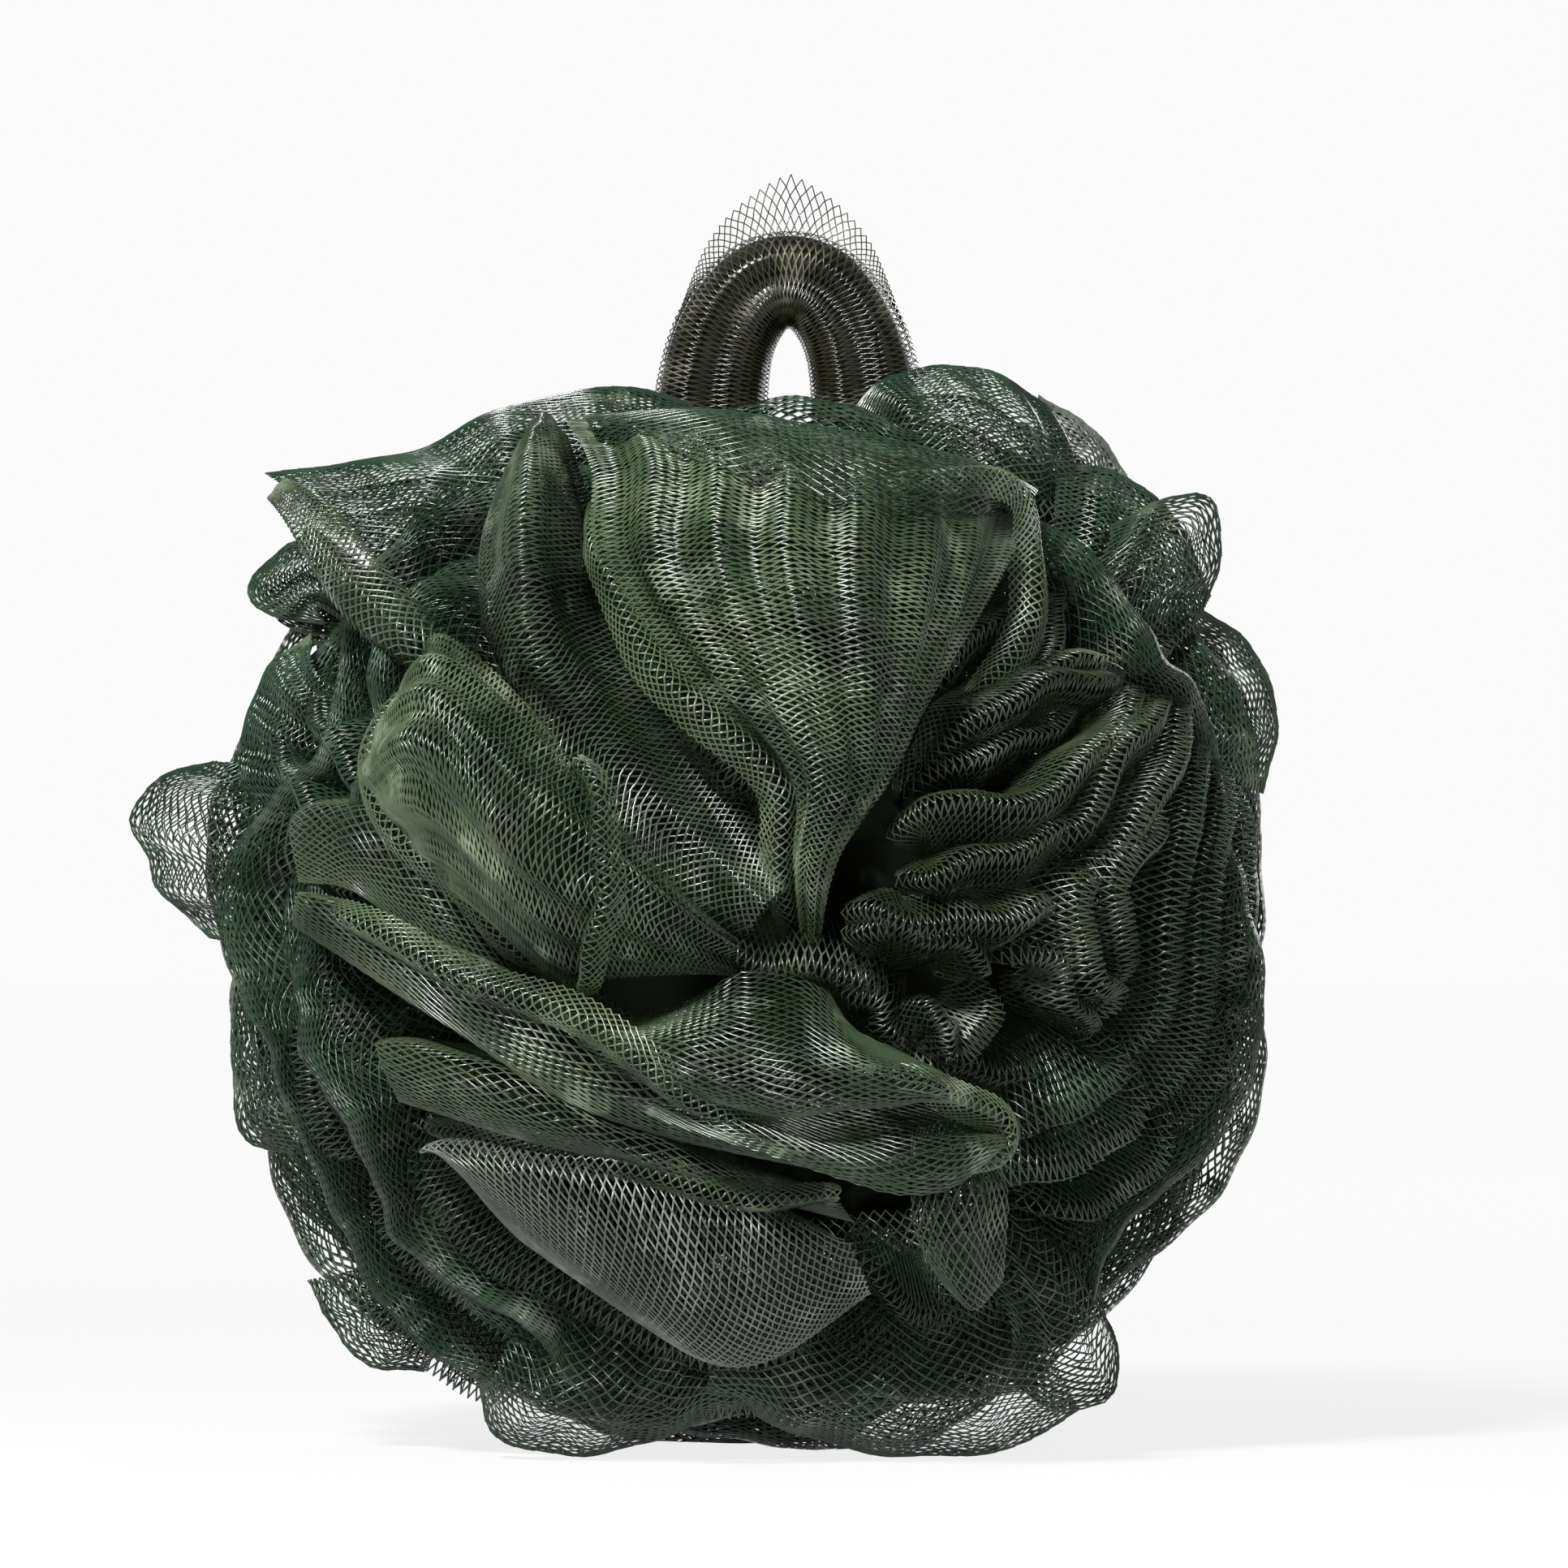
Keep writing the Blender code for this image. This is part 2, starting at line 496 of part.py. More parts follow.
def roll_size(share):
    """The roll is thinner over the top of the arch."""
    return 1 - (1 - ROLL_TOP) * math.sin(math.pi * share) ** 4


def add_roll(name, clearance, collection):
    rings = []
    for place, out, share in loop_frames(LOOP_STATIONS):
        size = roll_size(share)
        ring = []
        for k in range(LOOP_SIDES):
            turn = math.tau * k / LOOP_SIDES
            groove = ROLL_GROOVE * abs(math.sin(turn)) ** 6
            wide = (ROLL_WIDTH / 2 * size + clearance) * math.cos(turn)
            deep = (ROLL_DEPTH / 2 * size + clearance - groove) * math.sin(turn)
            ring.append(place + out * wide + Vector((0, deep, 0)))
        rings.append(ring)
    return swept_tube(name, rings, collection)


def add_fin(name, collection):
    """The free edge stands up in a peak a little left of the top and runs out on both sides."""
    grid = []
    for place, out, share in loop_frames(FIN_STATIONS):
        if FIN_START < share < FIN_END:
            run = (FIN_END - FIN_START) / 2
            rise = (FIN_HEIGHT + FIN_WALL) * max(0.0, 1 - abs(share - FIN_PEAK) / run)
            rim = ROLL_WIDTH / 2 * roll_size(share) - FIN_WALL + rise
            grid.append([place + out * reach for reach in np.linspace(0, rim, 4)])
    fin = new_object(name, [p for row in grid for p in row], grid_faces(len(grid), 4), collection)
    wall = fin.modifiers.new("wall", "SOLIDIFY")
    wall.thickness = FIN_WALL
    wall.offset = 0
    keep_result(fin)
    turn_faces_out(fin)


def clearing_place():
    """Middle and size of the space round the free part of the loop, where the ruffles are pushed down."""
    foot = HEAD_CENTRE + Vector((LOOP_RIGHT, 0, HEAD_RADIUS - LOOP_SEAT))
    width = EYE_WIDTH + 2 * ROLL_WIDTH
    middle = foot + Vector((0, 0, CLEARING_RISE + LOOP_HEIGHT / 2))
    return middle, (width, 2 * CLEARING_DEPTH, LOOP_HEIGHT)


def add_block(name, middle, size):
    bpy.ops.mesh.primitive_cube_add(size=1, location=middle)
    block = bpy.context.object
    block.name = name
    block.scale = size
    for used in list(block.users_collection):
        used.objects.unlink(block)
    cutters.objects.link(block)


for old in list(bpy.data.objects):
    bpy.data.objects.remove(old)

sponge = new_collection("body_sponge")
folds = new_collection("folds", helper=True)
cutters = new_collection("cutters", helper=True)
edges = new_collection("free_edges", helper=True)

netting = ruffled_head(sponge)
for petal_name, petal_rows in PETALS.items():
    add_petal(petal_name, petal_rows, folds)
for pleat_name, pleat_ridge in PLEATS.items():
    add_pleat(pleat_name, pleat_ridge, folds)
add_boolean(netting, "UNION", folds)
keep_result(netting)
fill_pockets(netting)

add_block("ground", (0, 0, -HEAD_RADIUS / 2), (4 * HEAD_RADIUS, 4 * HEAD_RADIUS, HEAD_RADIUS))
add_block("clearing", *clearing_place())
add_roll("socket", SOCKET_GAP, cutters)
bpy.context.view_layer.update()
add_boolean(netting, "DIFFERENCE", cutters)
keep_result(netting)
fill_pockets(netting)
netting.data.materials.clear()
netting.data.materials.append(material("green net", (0.035, 0.075, 0.04), 0.45))

hanging_loop = add_roll("hanging_loop", 0, sponge)
add_fin("fin", edges)
add_boolean(hanging_loop, "UNION", edges)
keep_result(hanging_loop)
fill_pockets(hanging_loop)
hanging_loop.data.materials.append(material("olive net", (0.04, 0.045, 0.022), 0.4))

bpy.ops.mesh.primitive_torus_add(
    major_radius=NECK_RADIUS + CORD_GAP + CORD_DIAMETER / 2,
    minor_radius=CORD_DIAMETER / 2,
    major_segments=24,
    minor_segments=8,
)
tie_cord = bpy.context.object
tie_cord.name = "tie_cord"
tie_height = CORE_RADIUS - PIT_DEPTH + CORD_GAP + CORD_DIAMETER
tie_cord.location = HEAD_CENTRE + GATHER.normalized() * tie_height
tie_cord.rotation_mode = "QUATERNION"
tie_cord.rotation_quaternion = Vector((0, 0, 1)).rotation_difference(GATHER)
for used in list(tie_cord.users_collection):
    used.objects.unlink(tie_cord)
sponge.objects.link(tie_cord)
tie_cord.data.materials.append(material("dark cord", (0.02, 0.022, 0.018), 0.6))

for helper in list(folds.objects) + list(cutters.objects) + list(edges.objects):
    helper.hide_render = True
    helper.display_type = "WIRE"

# The origin is under the middle of the whole sponge
bpy.context.view_layer.update()
corners = [piece.matrix_world @ Vector(corner) for piece in sponge.objects for corner in piece.bound_box]
middle = [(min(c[axis] for c in corners) + max(c[axis] for c in corners)) / 2 for axis in range(2)]
for piece in sponge.objects:
    piece.location -= Vector((*middle, 0))
    for face in piece.data.polygons:
        face.use_smooth = True
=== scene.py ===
import math

import bpy
import numpy as np
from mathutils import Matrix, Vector


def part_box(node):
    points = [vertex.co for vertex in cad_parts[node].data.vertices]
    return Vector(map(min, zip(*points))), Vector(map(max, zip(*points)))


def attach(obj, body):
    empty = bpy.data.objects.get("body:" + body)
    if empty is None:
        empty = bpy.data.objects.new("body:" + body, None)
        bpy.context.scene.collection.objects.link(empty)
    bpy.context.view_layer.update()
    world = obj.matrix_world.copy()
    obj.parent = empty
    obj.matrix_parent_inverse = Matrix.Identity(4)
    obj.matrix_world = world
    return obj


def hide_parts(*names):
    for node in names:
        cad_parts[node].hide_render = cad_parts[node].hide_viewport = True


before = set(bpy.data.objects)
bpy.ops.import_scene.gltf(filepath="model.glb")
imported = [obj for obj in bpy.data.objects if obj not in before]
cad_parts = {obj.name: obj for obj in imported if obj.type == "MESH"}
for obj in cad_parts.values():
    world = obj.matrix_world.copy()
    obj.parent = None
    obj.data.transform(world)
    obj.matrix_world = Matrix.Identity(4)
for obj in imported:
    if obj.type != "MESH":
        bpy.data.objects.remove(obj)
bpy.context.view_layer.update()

# Netting.
# One long extruded tube of diamond netting in dark green polyethylene, bunched up and tied at its
# middle. Two families of strands cross and are fused where they meet.
HEAD_RADIUS = 0.0635
CORE_RADIUS = 0.044
GATHER = Vector((0.12, -0.72, -0.04)).normalized()
TIE_HEIGHT = 0.0332
# Half the width of a strand, and the gap between the two walls
STRAND = 0.00011
FOLD = 0.0017
# How far crossings stray, in half cells; how far each family lies off the middle, in half strands;
# and how near the floor a strand and a sheet may come
SHAKE = 0.09
CROSSING_GAP = 0.45
STRAND_REST = 0.0003
SHEET_REST = 0.0004
low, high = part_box("tie_cord")
HEAD_CENTRE = np.array((low + high) / 2 - GATHER * TIE_HEIGHT)
chance = np.random.default_rng(7)


def smooth_line(points, count):
    """Points spaced evenly along a smooth curve through the given ones."""
    points = np.array(points, float)
    if len(points) == 2:
        points = np.array([points[0], points.mean(axis=0), points[1]])
    ends = np.vstack([2 * points[0] - points[1], points, 2 * points[-1] - points[-2]])
    fine = []
    for before, start, end, after in zip(ends, ends[1:], ends[2:], ends[3:]):
        for t in np.linspace(0, 1, 16, endpoint=False):
            slope = 0.5 * (end - before)
            bend = 0.5 * (2 * before - 5 * start + 4 * end - after)
            turn = 0.5 * (3 * start - before - 3 * end + after)
            fine.append(start + slope * t + bend * t * t + turn * t**3)
    fine = np.array(fine + [points[-1]])
    along = np.concatenate([[0], np.cumsum(np.linalg.norm(np.diff(fine, axis=0), axis=1))])
    wanted = np.linspace(0, along[-1], count)
    return np.stack([np.interp(wanted, along, fine[:, axis]) for axis in range(3)], axis=1)


def loft(rows, across, along):
    """A grid of points on the smooth surface through rows given in head radii from the head's centre."""
    lines = np.array([smooth_line(HEAD_CENTRE + HEAD_RADIUS * np.array(row), across) for row in rows])
    return np.stack([smooth_line(lines[:, i], along) for i in range(across)], axis=1)


def facing(grid):
    """Unit normals of a grid, pointing away from the head's centre."""
    normal = np.cross(np.gradient(grid, axis=1), np.gradient(grid, axis=0))
    normal /= np.linalg.norm(normal, axis=2, keepdims=True) + 1e-12
    if ((grid - HEAD_CENTRE) * normal).sum() < 0:
        normal = -normal
    return normal


def resample(grid, rows, columns):
    """The grid's values at rows by columns evenly spaced places."""
    r = np.linspace(0, grid.shape[0] - 1, rows)
    c = np.linspace(0, grid.shape[1] - 1, columns)
    r0 = np.minimum(r.astype(int), grid.shape[0] - 2)
    c0 = np.minimum(c.astype(int), grid.shape[1] - 2)
    fr = (r - r0)[:, None, None]
    fc = (c - c0)[None, :, None]
    top = grid[r0][:, c0] * (1 - fc) + grid[r0][:, c0 + 1] * fc
    bottom = grid[r0 + 1][:, c0] * (1 - fc) + grid[r0 + 1][:, c0 + 1] * fc
    return top * (1 - fr) + bottom * fr


def net_count(grid, cell):
    """Cells across and along that fit the sheet at its wider end."""
    widths = np.linalg.norm(np.diff(grid, axis=1), axis=2).sum(axis=1)
    lengths = np.linalg.norm(np.diff(grid, axis=0), axis=2).sum(axis=0)
    return max(3, round(np.percentile(widths, 55) / cell[0])), max(3, round(lengths.mean() / cell[1]))


def strand_net(grid, normal, cell, radius=STRAND):
    """Vertices and quads of the real strands that lie on a sheet, each with a ridge along it."""
    across, along = net_count(grid, cell)
    rows, columns = 2 * along + 1, 2 * across + 1
    place = resample(grid, rows, columns)
    out = resample(normal, rows, columns)
    out /= np.linalg.norm(out, axis=2, keepdims=True) + 1e-12
    step_u = np.gradient(place, axis=1)
    step_v = np.gradient(place, axis=0)
    shake = chance.normal(0, SHAKE, (rows, columns, 2))
    shake[[0, -1]] = 0
    shake[:, [0, -1]] = 0
    place = place + step_u * shake[..., :1] + step_v * shake[..., 1:]
    place[..., 2] = np.maximum(place[..., 2], STRAND_REST)
    i, j = np.meshgrid(np.arange(rows), np.arange(columns), indexing="ij")
    crossing = (i + j) % 2 == 0
    vertices, quads, first = [], [], 0
    for lean, lift in ((1, CROSSING_GAP), (-1, -CROSSING_GAP)):
        ahead_i, back_i = np.minimum(i + 1, rows - 1), np.maximum(i - 1, 0)
        ahead_j, back_j = np.clip(j + lean, 0, columns - 1), np.clip(j - lean, 0, columns - 1)
        ahead = place[ahead_i, ahead_j] - place[back_i, back_j]
        ahead /= np.linalg.norm(ahead, axis=2, keepdims=True) + 1e-12
        side = np.cross(ahead, out)
        side /= np.linalg.norm(side, axis=2, keepdims=True) + 1e-12
        middle = place + out * radius * lift
        ring = [middle - side * radius, middle + out * radius, middle + side * radius]
        sides = len(ring)
        number = np.cumsum(crossing.ravel()).reshape(rows, columns) - 1
        vertices.append(np.stack([r[crossing] for r in ring], axis=1).reshape(-1, 3))
        start = crossing & (i < rows - 1) & (j + lean >= 0) & (j + lean < columns)
        a = first + number[start] * sides
        b = first + number[i[start] + 1, j[start] + lean] * sides
        for k in range(sides - 1):
            quads.append(np.stack([a + k, a + k + 1, b + k + 1, b + k], axis=1))
        first += crossing.sum() * sides
    return np.concatenate(vertices), np.concatenate(quads)


def sheet_net(grid, cell, radius=STRAND):
    """Vertices, quads and net coordinates of a sheet whose netting is drawn by its material."""
    across, along = net_count(grid, cell)
    rows, columns = grid.shape[:2]
    i, j = np.meshgrid(np.arange(rows - 1), np.arange(columns - 1), indexing="ij")
    a = (i * columns + j).ravel()
    quads = np.stack([a, a + 1, a + columns + 1, a + columns], axis=1)
    wide = np.linalg.norm(np.gradient(grid, axis=1), axis=2) * (columns - 1) / across
    tall = np.linalg.norm(np.gradient(grid, axis=0), axis=2) * (rows - 1) / along
    gap = wide * tall / np.sqrt(wide**2 + tall**2 + 1e-16)
    filled = np.clip(radius / np.maximum(gap, 1e-7), 0.03, 0.6)
    u = np.broadcast_to(np.linspace(0, across, columns), (rows, columns))
    v = np.broadcast_to(np.linspace(0, along, rows)[:, None], (rows, columns))
    lattice = np.stack([u, v, filled], axis=2).reshape(-1, 3)
    return grid.reshape(-1, 3), quads, lattice


def make_piece(name, parts, material, sheet=False):
    """One mesh object from several parts of vertices and quads."""
    mesh = bpy.data.meshes.new(name)
    starts = np.cumsum([0] + [len(part[0]) for part in parts])
    vertices = np.concatenate([part[0] for part in parts]).astype(np.float32)
    quads = np.concatenate([part[1] + start for part, start in zip(parts, starts)]).astype(np.int32)
    mesh.vertices.add(len(vertices))
    mesh.vertices.foreach_set("co", vertices.ravel())
    mesh.loops.add(quads.size)
    mesh.loops.foreach_set("vertex_index", quads.ravel())
    mesh.polygons.add(len(quads))
    mesh.polygons.foreach_set("loop_start", np.arange(len(quads), dtype=np.int32) * 4)
    mesh.polygons.foreach_set("use_smooth", np.ones(len(quads), bool))
    if sheet:
        lattice = np.concatenate([part[2] for part in parts]).astype(np.float32)
        mesh.attributes.new("lattice", "FLOAT_VECTOR", "POINT").data.foreach_set("vector", lattice.ravel())
    mesh.update(calc_edges=True)
    mesh.materials.append(material)
    piece = bpy.data.objects.new(name, mesh)
    bpy.context.scene.collection.objects.link(piece)
    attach(piece, "root")
    return piece


def link(tree, **inputs):
    """A node's inputs by name: another node's output, or a plain value."""
    node = inputs.pop("node")
    for key, value in inputs.items():
        numbered = key[0] == "i" and key[1:].isdigit()
        socket = node.inputs[int(key[1:]) if numbered else key.replace("_", " ")]
        if isinstance(value, bpy.types.NodeSocket):
            tree.links.new(value, socket)
        else:
            socket.default_value = value
    return node


def math_node(tree, operation, a, b=0.0, c=0.0):
    """The result of one Math node."""
    node = tree.nodes.new("ShaderNodeMath")
    node.operation = operation
    link(tree, node=node, i0=a, i1=b, i2=c)
    return node.outputs[0]


def noise(tree, scale, detail=3.0):
    """A noise pattern that stays fixed to the piece."""
    place = tree.nodes.new("ShaderNodeTexCoord").outputs["Object"]
    node = tree.nodes.new("ShaderNodeTexNoise")
    link(tree, node=node, Vector=place, Scale=scale, Detail=detail)
    return node.outputs["Fac"]


def blend_colours(tree, share, first, second):
    """The colour that lies a share of the way from the first to the second."""
    node = tree.nodes.new("ShaderNodeMix")
    node.data_type = "RGBA"
    for socket, value in ((node.inputs[0], share), (node.inputs[6], first), (node.inputs[7], second)):
        if isinstance(value, bpy.types.NodeSocket):
            tree.links.new(value, socket)
        elif isinstance(value, tuple):
            socket.default_value = (*value, 1)
        else:
            socket.default_value = value
    return node.outputs[2]


def stretch(tree, value, low, high):
    """The share of the way from low to high, kept within 0 and 1."""
    node = tree.nodes.new("ShaderNodeMapRange")
    node.interpolation_type = "SMOOTHSTEP"
    link(tree, node=node, Value=value, From_Min=low, From_Max=high)
    return node.outputs["Result"]


# Scales of the noise that colours the plastic, paints highlight on it and roughens it, and that bends the
# drawn strands
PATCH_SCALE, TONE_AND_HIGHLIGHT_SCALE, GRAIN_SCALE, SWAY_SCALE = 70.0, 150.0, 900.0, 420.0


def net_material(name, dark, mid, paler_tone_and_highlight, paler_tone_and_highlight_amount, netted=False, gleam=0.5):
    """Glossy extruded plastic: its green runs paler and greyer in places, and these paler runs also serve as
    painted highlight. netted draws the strands.
    """
    made = bpy.data.materials.new(name)
    made.use_nodes = True
    tree = made.node_tree
    shader = tree.nodes["Principled BSDF"]
    patch = stretch(tree, noise(tree, PATCH_SCALE), 0.38, 0.62)
    colour = blend_colours(tree, patch, dark, mid)
    # Paler, greyer runs over the green: partly the plastic's own tone, partly painted highlight on the
    # strands
    paler_tone_and_highlight_mask = stretch(tree, noise(tree, TONE_AND_HIGHLIGHT_SCALE), 0.64 - 0.25 * paler_tone_and_highlight_amount, 0.8 - 0.2 * paler_tone_and_highlight_amount)
    colour = blend_colours(tree, paler_tone_and_highlight_mask, colour, paler_tone_and_highlight)
    tree.links.new(colour, shader.inputs["Base Color"])
    grain = noise(tree, GRAIN_SCALE, 2.0)
    gloss = math_node(tree, "MULTIPLY_ADD", grain, 0.2, 0.14)
    tree.links.new(gloss, shader.inputs["Roughness"])
    shader.inputs["Specular IOR Level"].default_value = gleam
    bump = tree.nodes.new("ShaderNodeBump")
    link(tree, node=bump, Strength=0.5, Distance=0.00005, Height=grain)
    if netted:
        lattice = tree.nodes.new("ShaderNodeAttribute")
        lattice.attribute_name = "lattice"
        apart = tree.nodes.new("ShaderNodeSeparateXYZ")
        tree.links.new(lattice.outputs["Vector"], apart.inputs[0])
        u, v, filled = apart.outputs
        sway = math_node(tree, "MULTIPLY_ADD", noise(tree, SWAY_SCALE, 1.0), 0.5, -0.25)
        u = math_node(tree, "ADD", u, sway)
        first = math_node(tree, "PINGPONG", math_node(tree, "ADD", u, v), 0.5)
        second = math_node(tree, "PINGPONG", math_node(tree, "SUBTRACT", u, v), 0.5)
        nearest = math_node(tree, "MINIMUM", first, second)
        share = math_node(tree, "DIVIDE", nearest, filled)
        height = math_node(tree, "MULTIPLY_ADD", math_node(tree, "MULTIPLY", share, share), -1.0, 1.0)
        tree.links.new(math_node(tree, "GREATER_THAN", height, 0.0), shader.inputs["Alpha"])
        round_strand = tree.nodes.new("ShaderNodeBump")
        link(tree, node=round_strand, Strength=0.8, Distance=0.00009, Height=height, Normal=bump.outputs[0])
        bump = round_strand
    tree.links.new(bump.outputs[0], shader.inputs["Normal"])
    return made


GREEN_STRAND = net_material(
    "green strand", (0.025, 0.046, 0.02), (0.072, 0.105, 0.05), (0.165, 0.205, 0.132), 0.45
)
# A darker copy of the green strand: painted shade for the petals that lie low and deep in the folds
LOW_SHADED_STRAND = net_material(
    "low shaded strand", (0.016, 0.03, 0.014), (0.041, 0.064, 0.032), (0.115, 0.148, 0.095), 0.4
)
# A darker, deeper green copy of the green strand: painted shade for the rims, the outer petals and the side
# folds
EDGE_SHADED_STRAND = net_material(
    "edge shaded strand", (0.008, 0.024, 0.011), (0.022, 0.048, 0.025), (0.1, 0.13, 0.085), 0.25
)
SHADED_STRAND = net_material(
    "shaded strand", (0.014, 0.022, 0.01), (0.036, 0.05, 0.025), (0.1, 0.12, 0.08), 0.4
)
GREY_STRAND = net_material(
    "grey strand", (0.055, 0.067, 0.053), (0.1, 0.115, 0.092), (0.19, 0.2, 0.175), 0.55
)
# The far walls of petals and folds: a darker copy of the green net, painted shade
FAR_SHADED_SHEET = net_material(
    "far shaded sheet", (0.005, 0.011, 0.005), (0.017, 0.028, 0.014), (0.045, 0.06, 0.04), 0.3,
    netted=True, gleam=0.25,
)
# The ruffles round the head: a darker copy of the green net, painted shade
RUFFLE_SHADED_SHEET = net_material(
    "ruffle shaded sheet", (0.007, 0.02, 0.01), (0.022, 0.045, 0.023), (0.07, 0.09, 0.06), 0.3, netted=True, gleam=0.25
)

